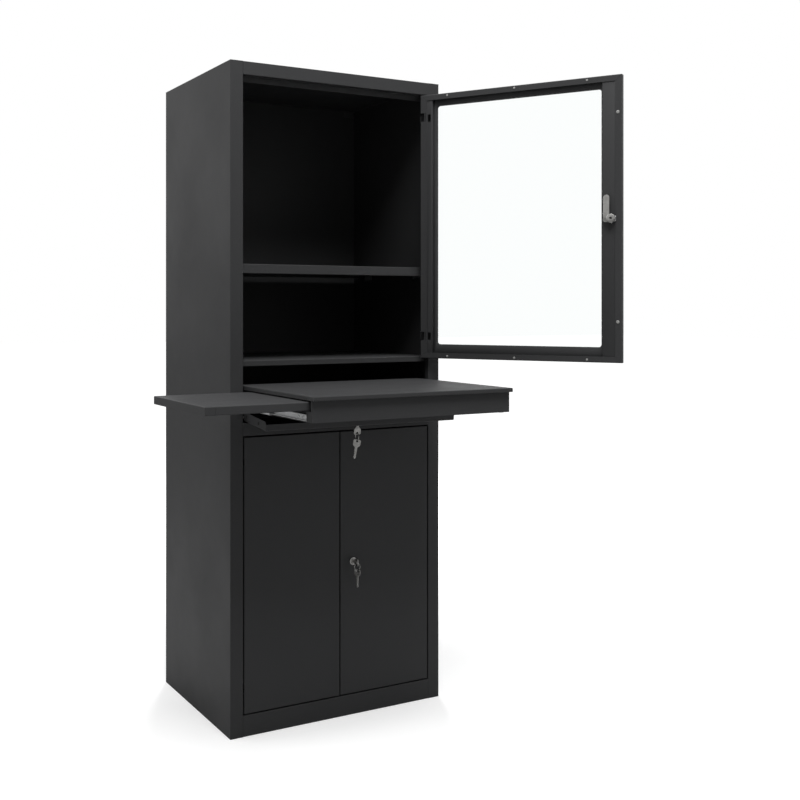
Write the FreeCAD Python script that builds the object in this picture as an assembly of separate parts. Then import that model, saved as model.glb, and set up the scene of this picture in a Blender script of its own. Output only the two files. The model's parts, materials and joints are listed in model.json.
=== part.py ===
import FreeCAD, Part
import math
import os

V = FreeCAD.Vector

# Carcass, millimetres. Origin bottom centre, front faces -Y.
WIDTH = 650.0
DEPTH = 485.0
HEIGHT = 1760.0
SHEET = 1.5
EDGE_ROUND = 2.2
STILE = 36.0
STILE_DEPTH = 18.0
STOP_SET_BACK = 21.5
FRONT = -DEPTH / 2
BACK = DEPTH / 2
SIDE = WIDTH / 2
OPENING = SIDE - STILE
WALL = SIDE - SHEET
STOP = FRONT + STOP_SET_BACK
BACK_PANEL = BACK - 2 * SHEET
STILE_RETURN = 12.0
BACK_FLANGE = 25.0
FOOT_FLANGE = 22.0
TURN_DOWN = 20.0
BACK_INSET = 3.0
SERVICE_TOP = 300.0
SEAM = 0.3
CABLE_OUTLET = (200.0, 110.0, 84.0, 44.0)
OUTLET_CLIP = 7.0
CABLE_NOTCH = (170.0, 250.0, 40.0)

# Horizontal members
TOP_RAIL = 35.0
STOP_DROP = 15.0
PLINTH = 55.0
STOP_STRIP = 13.0
BEARER_HALF = 20.0
RAIL_TOP = 817.5
RAIL_BOTTOM = 783.0
PARTITION_TOP = 978.0
PARTITION_LIP = 15.0
SHELF_TOP = 1233.0
SHELF_LIP = 25.0
LOW_SHELF_TOP = 400.0
LOUVRE_LOW = 560.0
LOUVRE_PITCH = 14.0
LOUVRE_ROWS = 9
LOUVRE_SIZE = (240.0, 5.0)
BRACKET_LEG = 28.0
BRACKET_SHELF = 22.0
BRACKET_GAUGE = 2.0

# Inset doors
GAP = 3.5
DOOR_DEPTH = 20.0
DOOR_SIDE = OPENING - GAP
UPPER_BOTTOM = 974.0
UPPER_TOP = 1722.0
LOWER_BOTTOM = 58.5
LOWER_TOP = 779.5
MEETING = 1.5
PIVOT_X = DOOR_SIDE - 6.0
PIVOT_Y = FRONT + 5.0
UPPER_OPEN = 121.5
UPPER_HINGES = (1037.0, 1659.0)
LOWER_HINGES = (123.5, 714.5)
WINDOW = (-229.5, 238.5, 1014.0, 1690.0)
PANE_LAP = 14.0
PANE_THICK = 4.0
HINGE_HALF = 8.5
NOTCH_HALF = 12.0
EYE_RADIUS = 3.2
PIN_RADIUS = 1.75
ARM_TURN = 106.5
ARM_LENGTH = 15.5
ARM_GAUGE = 2.5
EAR_GAUGE = 2.2
STIFFENER_X = 150.0
STIFFENER_HALF = (16.0, 32.0)
STIFFENER_RISE = 14.0
STIFFENER_GAUGE = 1.2
HAT_INSET = 30.0

# Fold-down flap in front of the keyboard bay
FLAP_BOTTOM = 821.0
FLAP_TOP = 971.0
FLAP_SIDE_DEPTH = 24.0
FLAP_PIVOT_Y = FRONT + 8.0
FLAP_PIVOT_Z = FLAP_BOTTOM + 10.0
FLAP_OPEN = 96.0
FLAP_PIN = 3.0

# Pull-out worktop, drawn at its full reach
WORKTOP_TOP = 914.0
WORKTOP_FRONT = -630.0
WORKTOP_BACK = -195.0
WORKTOP_LIP = 10.5
DRAWER_FACE = -617.0
DRAWER_LOW = 850.0
DRAWER_SIDE = 277.0
DRAWER_REACH = 413.0

# Three-part ball slides
SLIDE_Z = 862.0
SLIDE_FRONT = -190.0
SLIDE_BACK = 210.0
SLIDE_GAUGE = 1.2
OUTER_FACE = DRAWER_SIDE + 13.0
MIDDLE_FACE = DRAWER_SIDE + 10.0
OUTER_HALF = 15.0
MIDDLE_HALF = 11.0
INNER_HALF = 7.5
INNER_FRONT = -590.0
INNER_LENGTH = 385.0

# Mouse tray, drawn pulled out to the left
TRAY_LEFT = -541.5
TRAY_LENGTH = 380.0
TRAY_FRONT = -603.0
TRAY_BACK = -270.0
TRAY_TOP = 900.0
TRAY_LIP = 20.0
RAIL_LEFT = -272.0
RAIL_RIGHT = 260.0
RAIL_PLAY = 3.5
RAIL_LEDGE = 14.5

# Cam locks
LOCK_RADIUS = 8.9
PLUG_RADIUS = 6.0
BEZEL_RADIUS = 10.3
BEZEL_DEPTH = 2.5
BEZEL_FLATS = 24
BARREL_FLATS = 16
PLUG_PROUD = 2.2
HUB = 9.5
CAM_CLIP = 4.0
UPPER_LOCK = (-260.0, 1349.0)
RIGHT_LOCK = (40.7, 421.0)
FLAP_LOCK = (-9.0, 951.0)
KEY_HOLE = 23.4
KEY_HOLE_RADIUS = 2.6
BLADE_HALF = 3.4
BOW_HALF = 11.0
KEY_HALF = 1.0
RING_RADIUS = 10.1
RING_WIRE = 0.7
RING_DROP = 1.45


def box(x0, x1, y0, y1, z0, z1):
    return Part.makeBox(x1 - x0, y1 - y0, z1 - z0, V(x0, y0, z0))


def rod(radius, point, direction, length):
    return Part.makeCylinder(radius, length, V(*point), V(*direction))


def one(shapes):
    whole = shapes[0].fuse(list(shapes[1:])) if len(shapes) > 1 else shapes[0]
    return whole.removeSplitter()


def mirrored(shape):
    return shape.mirror(V(0, 0, 0), V(1, 0, 0))


def corner_arcs(path, gauge):
    """Both skins of a bent sheet: sharp inside each bend, rounded by the gauge outside it."""
    near = [path[0]]
    far = []
    for i in range(1, len(path)):
        run = (path[i] - path[i - 1]).normalize()
        side = V(-run.y, run.x, 0) * gauge
        if i == 1:
            far.append(path[0] + side)
        if i == len(path) - 1:
            near.append(path[i])
            far.append(path[i] + side)
            break
        ahead = (path[i + 1] - path[i]).normalize()
        turn = math.atan2(run.x * ahead.y - run.y * ahead.x, run.dot(ahead))
        reach = gauge * math.tan(abs(turn) / 2)
        if turn > 0:
            centre = path[i] - run * reach + side
            outer = [path[i] - run * reach, path[i], path[i] + ahead * reach]
        else:
            centre = path[i]
            corner = path[i] + run * reach + side
            outer = [path[i] + side, corner, path[i] + V(-ahead.y, ahead.x, 0) * gauge]
        middle = centre + (outer[1] - centre).normalize() * gauge
        arc = [outer[0], middle, outer[2]]
        near.append(arc if turn > 0 else centre)
        far.append(centre if turn > 0 else arc)
    return near, far


def folded(points, plane, start, end, gauge=SHEET, rounded=True):
    """Sheet bent along a path of its outer skin, the metal on the path's left."""
    near, far = corner_arcs([V(a, b, 0) for a, b in points], gauge)
    far = [step[::-1] if isinstance(step, list) else step for step in reversed(far)]
    edges = []
    pen = None
    for step in near + far + near[:1]:
        entry = step[0] if isinstance(step, list) else step
        if pen is not None and pen.distanceToPoint(entry) > 1e-6:
            edges.append(Part.makeLine(pen, entry))
        pen = entry
        if isinstance(step, list):
            if rounded:
                edges.append(Part.Arc(*step).toShape())
            else:
                edges.append(Part.makeLine(step[0], step[2]))
            pen = step[2]
    solid = Part.Face(Part.Wire(edges)).extrude(V(0, 0, end - start))
    solid.translate(V(0, 0, start))
    if plane == "YZ":
        solid.rotate(V(0, 0, 0), V(1, 1, 1), 120)
    if plane == "XZ":
        solid.rotate(V(0, 0, 0), V(1, 0, 0), 90)
        solid.translate(V(0, start + end, 0))
    return solid


def edges_along(shape, axis, wanted):
    """Straight edges parallel to an axis whose middle passes a test."""
    found = []
    for edge in shape.Edges:
        if not isinstance(edge.Curve, Part.Line):
            continue
        run = edge.Vertexes[-1].Point - edge.Vertexes[0].Point
        if abs(abs(run.normalize().dot(axis)) - 1) > 1e-6:
            continue
        if wanted(edge.CenterOfMass):
            found.append(edge)
    return found


def soft_box(x0, x1, y0, y1, z0, z1, radius):
    """Box with every edge across the sheet's folds rounded."""
    solid = box(x0, x1, y0, y1, z0, z1)
    chosen = edges_along(solid, V(1, 0, 0), lambda p: True)
    chosen += edges_along(solid, V(0, 0, 1), lambda p: True)
    return solid.makeFillet(radius, chosen)


def pan(x0, x1, z0, z1, depth, lips, front=FRONT):
    """Folded pan: skin, four flanges and the lips that turn in behind it."""
    left, right, low, high = lips
    shell = soft_box(x0, x1, front, front + depth, z0, z1, EDGE_ROUND)
    hollow = box(x0 + SHEET, x1 - SHEET, front + SHEET, front + depth - SHEET, z0 + SHEET, z1 - SHEET)
    mouth = box(x0 + left, x1 - right, front + depth / 2, front + depth + 1, z0 + low, z1 - high)
    return shell.cut([hollow, mouth])


def mitres(x0, x1, z0, z1, depth, size):
    """Thin diagonal slits where the lips of a pan meet."""
    slits = []
    for x, sx in ((x0, 1), (x1, -1)):
        for z, sz in ((z0, 1), (z1, -1)):
            slit = box(-0.2, 0.2, FRONT + depth - SHEET - 0.1, FRONT + depth + 0.1, 3.5, size * 1.5)
            slit.rotate(V(0, 0, 0), V(0, 1, 0), 45 * sx * sz + (0 if sz > 0 else 180))
            slit.translate(V(x, 0, z))
            slits.append(slit)
    return slits


def polygon(points, plane, start, end):
    """Prism on a closed polygon; the plane is XY, or XZ with the prism along Y."""
    ring = [V(a, b, 0) for a, b in points]
    solid = Part.Face(Part.makePolygon(ring + ring[:1])).extrude(V(0, 0, end - start))
    solid.translate(V(0, 0, start))
    if plane == "XZ":
        solid.rotate(V(0, 0, 0), V(1, 0, 0), 90)
        solid.translate(V(0, start + end, 0))
    return solid


def round_points(radius, count, x=0.0, z=0.0):
    """Corners of a regular polygon, its flats facing the axes."""
    steps = [math.radians(360.0 * (k + 0.5) / count) for k in range(count)]
    return [(x + radius * math.cos(t), z + radius * math.sin(t)) for t in steps]


def slot_y(x, z, length, height, y0, y1):
    """Slot with pointed ends lying along X, cut through in Y."""
    tip = length / 2
    half = height / 2
    corners = [(tip, 0), (tip - half, half), (half - tip, half), (-tip, 0), (half - tip, -half),
               (tip - half, -half)]
    return polygon([(x + a, z + b) for a, b in corners], "XZ", y0, y1)


# Carcass

def side_panel():
    """Right wall with its folded stile, back flange and foot flange."""
    rear = FRONT + STILE_DEPTH
    path = [(SIDE - STILE_RETURN, rear), (OPENING, rear), (OPENING, FRONT), (SIDE, FRONT),
            (SIDE, BACK), (SIDE - BACK_FLANGE, BACK)]
    wall = folded(path, "XY", 0, HEIGHT - SHEET)
    foot = box(SIDE - FOOT_FLANGE, SIDE - SHEET / 2, STOP, BACK_PANEL - 2, 0, SHEET)
    pin_hole = rod(FLAP_PIN + 0.05, (OPENING - 1, FLAP_PIVOT_Y, FLAP_PIVOT_Z), (1, 0, 0), 5)
    return one([wall, foot]).cut(pin_hole)


def back_panel():
    """Fixed back above the service panel, with slots that let the warm air out."""
    half = SIDE - BACK_INSET
    sheet = box(-half, half, BACK_PANEL, BACK_PANEL + SHEET, SERVICE_TOP + SEAM, HEIGHT - 5)
    rows = [LOUVRE_LOW + LOUVRE_PITCH * row for row in range(LOUVRE_ROWS)]
    slots = [slot_y(0, z, *LOUVRE_SIZE, BACK_PANEL - 1, BACK_PANEL + 3) for z in rows]
    return sheet.cut(slots)


def outlet_prism(margin, y0, y1):
    """The cable outlet's form, a rectangle with clipped corners, grown by a margin."""
    x, z, width, height = CABLE_OUTLET
    a = width / 2 + margin
    b = height / 2 + margin
    clip = OUTLET_CLIP + margin / 2
    corners = [(clip - a, -b), (a - clip, -b), (a, clip - b), (a, b - clip), (a - clip, b),
               (clip - a, b), (-a, b - clip), (-a, clip - b)]
    return polygon([(x + i, z + j) for i, j in corners], "XZ", y0, y1)


def service_panel():
    """Removable foot of the back, with the cable outlet."""
    half = SIDE - BACK_INSET
    sheet = box(-half, half, BACK_PANEL, BACK_PANEL + SHEET, 2, SERVICE_TOP - SEAM)
    return sheet.cut(outlet_prism(0, BACK_PANEL - 1, BACK_PANEL + 3))


def top_panel():
    """Roof, top rail and the door stop that hangs behind it."""
    rail = HEIGHT - TOP_RAIL
    path = [(BACK, HEIGHT - TURN_DOWN), (BACK, HEIGHT), (FRONT, HEIGHT), (FRONT, rail), (STOP, rail),
            (STOP, rail - STOP_DROP)]
    roof = folded(path, "YZ", -OPENING, OPENING)
    ends = [box(x, x + STILE, FRONT, BACK, HEIGHT - SHEET, HEIGHT) for x in (-SIDE, OPENING)]
    return one([roof] + ends)


def base_panel():
    """Plinth and cupboard floor, with a stop strip for the lower doors."""
    path = [(BACK_PANEL, PLINTH - TURN_DOWN), (BACK_PANEL, PLINTH), (FRONT, PLINTH), (FRONT, 0),
            (STOP - 1, 0)]
    tray = folded(path, "YZ", -OPENING, OPENING)
    wings = [box(x, x + STILE - SHEET, STOP, BACK_PANEL, PLINTH - SHEET, PLINTH)
             for x in (-WALL, OPENING)]
    strip = box(-OPENING + 4, OPENING - 4, STOP, STOP + SHEET, PLINTH - SHEET, PLINTH + STOP_STRIP)
    under = PLINTH - SHEET
    half = BEARER_HALF
    bearer = folded([(-half, under), (-half, 0), (half, 0), (half, under)], "XZ", STOP,
                    BACK_PANEL - 2)
    return one([tray, strip, bearer] + wings)


def mid_rail():
    """Rail between the flap and the lower doors."""
    upstand = STOP - 2.2
    path = [(upstand, RAIL_TOP + 11), (upstand, RAIL_TOP), (FRONT, RAIL_TOP), (FRONT, RAIL_BOTTOM),
            (STOP, RAIL_BOTTOM), (STOP, RAIL_BOTTOM - STOP_DROP)]
    rail = folded(path, "YZ", -OPENING, OPENING)
    rear = FRONT + STILE_DEPTH
    tabs = [box(x, x + 40, rear, rear + SHEET, RAIL_BOTTOM + 0.5, RAIL_TOP - 0.5)
            for x in (-SIDE + 13, SIDE - 53)]
    ends = [box(x, x + 12, upstand - 1, STOP + 2, RAIL_TOP + 0.01, RAIL_TOP + 20)
            for x in (-OPENING - 1, OPENING - 11)]
    return one([rail] + tabs).cut(ends)


def partition():
    """Floor of the monitor bay; its lip stops the glazed door and the flap."""
    lip = PARTITION_TOP - PARTITION_LIP
    path = [(BACK_PANEL, lip), (BACK_PANEL, PARTITION_TOP), (STOP, PARTITION_TOP), (STOP, lip),
            (STOP + 9, lip)]
    plate = folded(path, "YZ", -WALL, WALL)
    left, right, depth = CABLE_NOTCH
    cable = box(left, right, BACK_PANEL - depth, BACK_PANEL + 1, lip - 1, PARTITION_TOP + 1)
    x = FLAP_LOCK[0]
    cam_slot = box(x - 14, x + 14, STOP + SHEET, STOP + 10, lip - 1, lip + 2.8)
    return plate.cut([cable, cam_slot])


def shelf(top, front, back):
    """Loose shelf with a folded nose and a rear upstand turned down."""
    low = top - SHELF_LIP
    path = [(back, top - TURN_DOWN), (back, top), (front, top), (front, low), (front + 12, low)]
    return folded(path, "YZ", -WALL + 2.5, WALL - 2.5)


def shelf_brackets():
    """Angle brackets riveted to the walls, four under each shelf."""
    parts = []
    for top in (SHELF_TOP, LOW_SHELF_TOP):
        z = top - SHEET
        for y in (-150, 130):
            path = [(WALL, z - BRACKET_LEG), (WALL, z), (WALL - BRACKET_SHELF, z)]
            right = folded(path, "XZ", y, y + 40, BRACKET_GAUGE, False)
            parts += [right, mirrored(right)]
    return parts


def slide_bracket():
    """Channel that brings the slide in from the wall to the opening's edge."""
    low = SLIDE_Z - 22
    high = SLIDE_Z + 22
    path = [(WALL, high), (OUTER_FACE, high), (OUTER_FACE, low), (WALL, low)]
    return folded(path, "XZ", SLIDE_FRONT, SLIDE_BACK, SHEET, False)


def slide_member(face, hem, half, start, end):
    """Channel of a slide: a web on the face with two hems, turned in or out by their sign."""
    low = SLIDE_Z - half
    high = SLIDE_Z + half
    path = [(face + hem, low), (face, low), (face, high), (face + hem, high)]
    if hem > 0:
        path.reverse()
    return folded(path, "XZ", start, end, SLIDE_GAUGE, False)


def slide_outer():
    return slide_member(OUTER_FACE, -7.5, OUTER_HALF, SLIDE_FRONT, SLIDE_BACK)


def slide_middle():
    rail = slide_member(MIDDLE_FACE, -7, MIDDLE_HALF, SLIDE_FRONT + 2, SLIDE_BACK - 2)
    rail.translate(V(0, -DRAWER_REACH / 2, 0))
    return rail


def slide_inner():
    """Drawer's member, with its fixing hole and the slots for its screws."""
    face = DRAWER_SIDE
    rail = slide_member(face, 7, INNER_HALF, INNER_FRONT, INNER_FRONT + INNER_LENGTH)
    hole = rod(2.2, (face - 1, INNER_FRONT + 27, SLIDE_Z), (1, 0, 0), 4)
    slots = [box(face - 1, face + 3, y, y + 9, SLIDE_Z - 2.1, SLIDE_Z + 2.1)
             for y in (INNER_FRONT + 47, INNER_FRONT + 200, INNER_FRONT + 350)]
    return rail.cut([hole] + slots)


def cable_surround():
    """Rubber lining of the back outlet, pushed in from behind."""
    sleeve = outlet_prism(0, BACK_PANEL - 2.5, BACK_PANEL + SHEET)
    flange = outlet_prism(6, BACK_PANEL + SHEET, BACK_PANEL + SHEET + 2.5)
    return one([sleeve, flange]).cut(outlet_prism(-3, BACK_PANEL - 4, BACK_PANEL + 6))


def flap_pivots():
    """Pins that stand out of the stiles' inner faces."""
    parts = []
    for s in (-1, 1):
        start = s * (OPENING + 4)
        parts.append(rod(FLAP_PIN, (start, FLAP_PIVOT_Y, FLAP_PIVOT_Z), (-s, 0, 0), 14))
    return parts


def door_catch():
    """Magnet block behind the mid rail's stop, for the left door."""
    lip = STOP + SHEET
    body = box(-125, -85, lip, lip + 13, RAIL_BOTTOM - 30, RAIL_BOTTOM - 3)
    nose = box(-120, -90, STOP - 1, lip + 2, RAIL_BOTTOM - 28, RAIL_BOTTOM - STOP_DROP - 1)
    groove = box(-121, -89, STOP - 2, lip - 0.5, RAIL_BOTTOM - 23.5, RAIL_BOTTOM - 20.5)
    return one([body, nose]).cut(groove)


# Hinges and locks

def hinge_arm(z):
    """Swan-neck arm fixed behind the right stile; its eye turns on the pin."""
    low = z - HINGE_HALF
    high = z + HINGE_HALF
    eye = rod(EYE_RADIUS, (PIVOT_X, PIVOT_Y, low), (0, 0, 1), high - low)
    neck = box(0, ARM_LENGTH, -ARM_GAUGE / 2, ARM_GAUGE / 2, low, high)
    neck.rotate(V(0, 0, 0), V(0, 0, 1), ARM_TURN)
    neck.translate(V(PIVOT_X, PIVOT_Y, 0))
    rear = FRONT + STILE_DEPTH
    leaf = box(PIVOT_X - 5.6, SIDE - 14, rear, rear + ARM_GAUGE, low, high)
    bore = rod(PIN_RADIUS + 0.05, (PIVOT_X, PIVOT_Y, low - 1), (0, 0, 1), high - low + 2)
    return one([eye, neck, leaf]).cut(bore)


def hinge_pin(z):
    """Two ears welded in the door's edge with the pin between them."""
    reach = HINGE_HALF + EAR_GAUGE + 0.4
    skin = FRONT + SHEET
    parts = [rod(PIN_RADIUS, (PIVOT_X, PIVOT_Y, z - reach), (0, 0, 1), 2 * reach)]
    for base in (z - reach, z + HINGE_HALF + 0.4):
        parts.append(box(PIVOT_X - 8, PIVOT_X + 3, skin, PIVOT_Y + 4, base, base + EAR_GAUGE))
    return one(parts)


def hinge_notch(z):
    """Clearance for an arm through a door's flange and lip."""
    skin = FRONT + SHEET
    rear = FRONT + DOOR_DEPTH
    low = z - NOTCH_HALF
    high = z + NOTCH_HALF
    flange = box(PIVOT_X + 4.3, DOOR_SIDE + 0.5, skin + 0.1, rear + 0.5, low, high)
    lip = box(PIVOT_X - 6.5, DOOR_SIDE + 0.5, rear - SHEET - 0.2, rear + 0.5, low, high)
    return one([flange, lip])


def lock_hole(spot):
    """Round hole in a door's skin for a lock's housing."""
    x, z = spot
    return rod(LOCK_RADIUS + 0.05, (x, FRONT - 1, z), (0, 1, 0), 6)


def lock_body(length):
    """Lock housing along +Y from the door's outer face, its outside drawn in flats."""
    bezel = polygon(round_points(BEZEL_RADIUS, BEZEL_FLATS), "XZ", -BEZEL_DEPTH, 0)
    barrel = polygon(round_points(LOCK_RADIUS, BARREL_FLATS), "XZ", 0, length)
    bore = rod(PLUG_RADIUS + 0.06, (0, -3, 0), (0, 1, 0), length + 4)
    return one([bezel, barrel]).cut(bore)


def cam_plate(reach, edges, start, end):
    """Cam with clipped corners; its arm may stand to one side of the hub."""
    left, right = edges
    clip = CAM_CLIP
    corners = [(clip - HUB, -HUB), (right - clip, -HUB), (right, clip - HUB), (right, reach - clip),
               (right - clip, reach), (left + clip, reach), (left, reach - clip)]
    if left > -HUB:
        corners += [(left, HUB + clip), (left - clip, HUB), (clip - HUB, HUB), (-HUB, HUB - clip)]
    corners.append((-HUB, clip - HUB))
    return polygon(corners, "XZ", start, end)


def lock_rotor(length, reach, gauge, crank=0, edges=(-HUB, HUB)):
    """Plug with the cam pointing along +Z; a crank brings the cam's tip nearer the skin."""
    plug = rod(PLUG_RADIUS, (0, -PLUG_PROUD, 0), (0, 1, 0), length + PLUG_PROUD + 0.5)
    keyway = box(-1.1, 1.1, -3, length - 0.8, -4, 4)
    seat = length + 0.4
    plate = cam_plate(reach, edges, seat - crank, seat + gauge)
    if crank > 0:
        path = [(seat - crank, reach + 1), (seat - crank, reach - 11), (seat, reach - 17), (seat, -10)]
        plate = plate.common(folded(path, "YZ", -30, 30, gauge, False))
    return one([plug, plate]).cut(keyway)


def key_blank():
    """Key along Y: blade inside the plug, eight-sided bow outside it."""
    wide = BOW_HALF
    bow = [(-wide / 2, -7), (-wide, -12), (-wide, -21), (-wide / 2, -28), (wide / 2, -28), (wide, -21),
           (wide, -12), (wide / 2, -7)]
    half = BLADE_HALF
    blade = [(-half, -8), (half, -8), (half, 16), (0, 18.5), (-half, 16)]
    flat = one([polygon(bow, "XY", -KEY_HALF, KEY_HALF), polygon(blade, "XY", -KEY_HALF, KEY_HALF)])
    hole = rod(KEY_HOLE_RADIUS, (0, -KEY_HOLE, -2), (0, 0, 1), 4)
    groove = box(-0.6, 0.6, -7.5, 15, KEY_HALF / 2, 2)
    flat = flat.cut([hole, groove])
    flat.rotate(V(0, 0, 0), V(0, 1, 0), 90)
    return flat


def hanging_key():
    """Ring in a key's bow with a second key on it, about the bow's hole at the origin."""
    centre = -RING_DROP - RING_RADIUS
    outer, inner = [polygon(round_points(RING_RADIUS + d, 20, 0, centre), "XZ", -0.8, 0.8)
                    for d in (RING_WIRE, -RING_WIRE)]
    spare = key_blank()
    spare.translate(V(0, KEY_HOLE, 0))
    spare.rotate(V(0, 0, 0), V(1, 0, 0), -90)
    spare.translate(V(0, 0, centre - RING_RADIUS - RING_WIRE - 1))
    return [outer.cut(inner), spare]


def placed(shape, spot):
    shape.translate(V(spot[0], FRONT, spot[1]))
    return shape


# Upper door

def upper_door_frame():
    """Glazed door's folded frame, shut position."""
    lips = (17, 15, 16, 16)
    door = pan(-DOOR_SIDE, DOOR_SIDE, UPPER_BOTTOM, UPPER_TOP, DOOR_DEPTH, lips)
    x0, x1, z0, z1 = WINDOW
    window = box(x0, x1, FRONT - 1, FRONT + 5, z0, z1)
    window = window.makeFillet(8, edges_along(window, V(0, 1, 0), lambda p: True))
    x, z = UPPER_LOCK
    cuts = [window, lock_hole(UPPER_LOCK)]
    cuts.append(box(x - 10.4, x + 10.4, FRONT + 12, FRONT + 22, z - 10.4, z + 10.4))
    cuts += [hinge_notch(z) for z in UPPER_HINGES]
    cuts += mitres(-DOOR_SIDE, DOOR_SIDE, UPPER_BOTTOM, UPPER_TOP, DOOR_DEPTH, 17)
    return door.cut(cuts)


def glass_pane():
    x0, x1, z0, z1 = WINDOW
    y = FRONT + SHEET
    return box(x0 - PANE_LAP, x1 + PANE_LAP, y, y + PANE_THICK, z0 - PANE_LAP, z1 + PANE_LAP)


def glass_gasket():
    """Rubber frame that clips over the pane's edge."""
    x0, x1, z0, z1 = WINDOW
    y = FRONT + SHEET
    rim = PANE_LAP + 1.2
    inner = PANE_LAP - 5
    outer = box(x0 - rim, x1 + rim, y, y + 6, z0 - rim, z1 + rim)
    throat = box(x0 - inner, x1 + inner, y - 1, y + 8, z0 - inner, z1 + inner)
    return outer.cut([glass_pane(), throat])


def upper_buffers():
    """Eight-sided rubber pads on the door's lips where it meets its stops."""
    rear = FRONT + DOOR_DEPTH
    side = [(-275.5, 1624, 6, 1.8), (-275.5, 1080.5, 6, 1.8)]
    ends = [(x, z, 4, 1.2) for z in (981, 1715) for x in (-194.5, 5.5, 203)]
    return [polygon(round_points(r, 8, x, z), "XZ", rear, rear + h) for x, z, r, h in side + ends]


def swung(shapes):
    """Turns upper-door pieces from shut to the open rest position."""
    for shape in shapes:
        shape.rotate(V(PIVOT_X, PIVOT_Y, 0), V(0, 0, 1), UPPER_OPEN)
    return shapes


# Lower doors

def lower_door_panel(with_lock):
    """Right lower door; the left one is its mirror image without the lock."""
    lips = (18, 20, 16, 18)
    door = pan(MEETING, DOOR_SIDE, LOWER_BOTTOM, LOWER_TOP, DOOR_DEPTH, lips)
    cuts = [hinge_notch(z) for z in LOWER_HINGES]
    cuts += mitres(MEETING, DOOR_SIDE, LOWER_BOTTOM, LOWER_TOP, DOOR_DEPTH, 17)
    if with_lock:
        cuts.append(lock_hole(RIGHT_LOCK))
    return door.cut(cuts)


def lower_stiffener():
    """Hat section bonded up the middle of a lower door's skin."""
    x = STIFFENER_X
    near, far = STIFFENER_HALF
    foot = FRONT + SHEET + STIFFENER_GAUGE
    crown = FRONT + SHEET + STIFFENER_RISE
    path = [(x + far, foot), (x + near, foot), (x + near, crown), (x - near, crown),
            (x - near, foot), (x - far, foot)]
    return folded(path, "XY", LOWER_BOTTOM + HAT_INSET, LOWER_TOP - HAT_INSET, STIFFENER_GAUGE, False)


# Flap

def flap_panel():
    """Fold-down front, shut position: shallow pan with deeper side flanges."""
    flap = pan(-DOOR_SIDE, DOOR_SIDE, FLAP_BOTTOM, FLAP_TOP, FLAP_SIDE_DEPTH + 4, (2, 2, 2, 2))
    rear = FRONT + FLAP_SIDE_DEPTH
    inner = DOOR_SIDE - SHEET
    cuts = [box(-300, 300, rear, rear + 10, FLAP_BOTTOM - 5, FLAP_TOP + 5)]
    cuts.append(box(-inner, inner, FRONT + 17, rear + 9, FLAP_TOP - 8, FLAP_TOP + 5))
    cuts.append(box(-inner, inner, FRONT + 10, rear + 9, FLAP_BOTTOM - 5, FLAP_BOTTOM + 8))
    cuts.append(rod(FLAP_PIN + 0.06, (-300, FLAP_PIVOT_Y, FLAP_PIVOT_Z), (1, 0, 0), 600))
    y, z = FRONT + 11, FLAP_PIVOT_Z + 95.7
    cuts.append(box(-300, 300, y - 2.5, y + 2.5, z - 2.5, z + 2.5))
    cuts.append(lock_hole(FLAP_LOCK))
    for z_end, inward in ((FLAP_BOTTOM, 1), (FLAP_TOP, -1)):
        wedge = polygon([(rear + 1, z_end - inward), (rear + 1, z_end + 8 * inward),
                         (rear - 8, z_end - inward)], "XY", -300, 300)
        wedge.rotate(V(0, 0, 0), V(1, 1, 1), 120)
        cuts.append(wedge)
    return flap.cut(cuts)


def folded_down(shapes):
    """Turns flap pieces from shut to the open rest position."""
    for shape in shapes:
        shape.rotate(V(0, FLAP_PIVOT_Y, FLAP_PIVOT_Z), V(1, 0, 0), FLAP_OPEN)
    return shapes


# Worktop and tray

def worktop():
    """Pressed top with a shallow skirt, returned under at the front."""
    low = WORKTOP_TOP - WORKTOP_LIP
    half = DOOR_SIDE
    shell = box(-half, half, WORKTOP_FRONT, WORKTOP_BACK, low, WORKTOP_TOP)
    shell = shell.makeFillet(EDGE_ROUND, edges_along(shell, V(1, 0, 0), lambda p: True)
                             + edges_along(shell, V(0, 1, 0), lambda p: p.z > low + 1))
    hollow = box(-half + SHEET, half - SHEET, WORKTOP_FRONT + SHEET, WORKTOP_BACK - SHEET,
                 low + SHEET, WORKTOP_TOP - SHEET)
    mouth = box(-half + SHEET, half - SHEET, WORKTOP_FRONT + 18, WORKTOP_BACK - 10, low - 1, low + 5)
    return shell.cut([hollow, mouth])


def drawer_front():
    """Panel under the worktop's edge, returned at both ends and below."""
    end = DRAWER_FACE + 25
    low = DRAWER_LOW + 2
    path = [(-285, end), (-285, DRAWER_FACE), (285, DRAWER_FACE), (285, end)]
    face = folded(path, "XY", low, 903)
    under = box(-283.5, 283.5, DRAWER_FACE + SHEET / 2, DRAWER_FACE + 12, low, low + SHEET)
    gate = box(-290, -280, DRAWER_FACE + 3, end + 1, TRAY_TOP - TRAY_LIP - 2, 910)
    return one([face, under]).cut(gate)


def drawer_side(high):
    """Right-hand channel under the worktop that carries the slide."""
    x = DRAWER_SIDE
    path = [(x - 15, DRAWER_LOW), (x, DRAWER_LOW), (x, high), (x - 15, high)]
    return folded(path, "XZ", DRAWER_FACE + 12, -220, SHEET, False)


def drawer_back():
    high = WORKTOP_TOP - SHEET
    path = [(-220, DRAWER_LOW), (-205, DRAWER_LOW), (-205, high), (-220, high)]
    return folded(path, "YZ", -DRAWER_SIDE, DRAWER_SIDE, SHEET, False)


def tray_rail_front():
    """Channel under the worktop that holds the tray's front edge."""
    high = WORKTOP_TOP - SHEET
    low = TRAY_TOP - TRAY_LIP - 3
    web = TRAY_FRONT - RAIL_PLAY
    path = [(web + RAIL_LEDGE, high), (web, high), (web, low), (web + RAIL_LEDGE, low)]
    return folded(path, "YZ", RAIL_LEFT, RAIL_RIGHT, SHEET, False)


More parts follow.
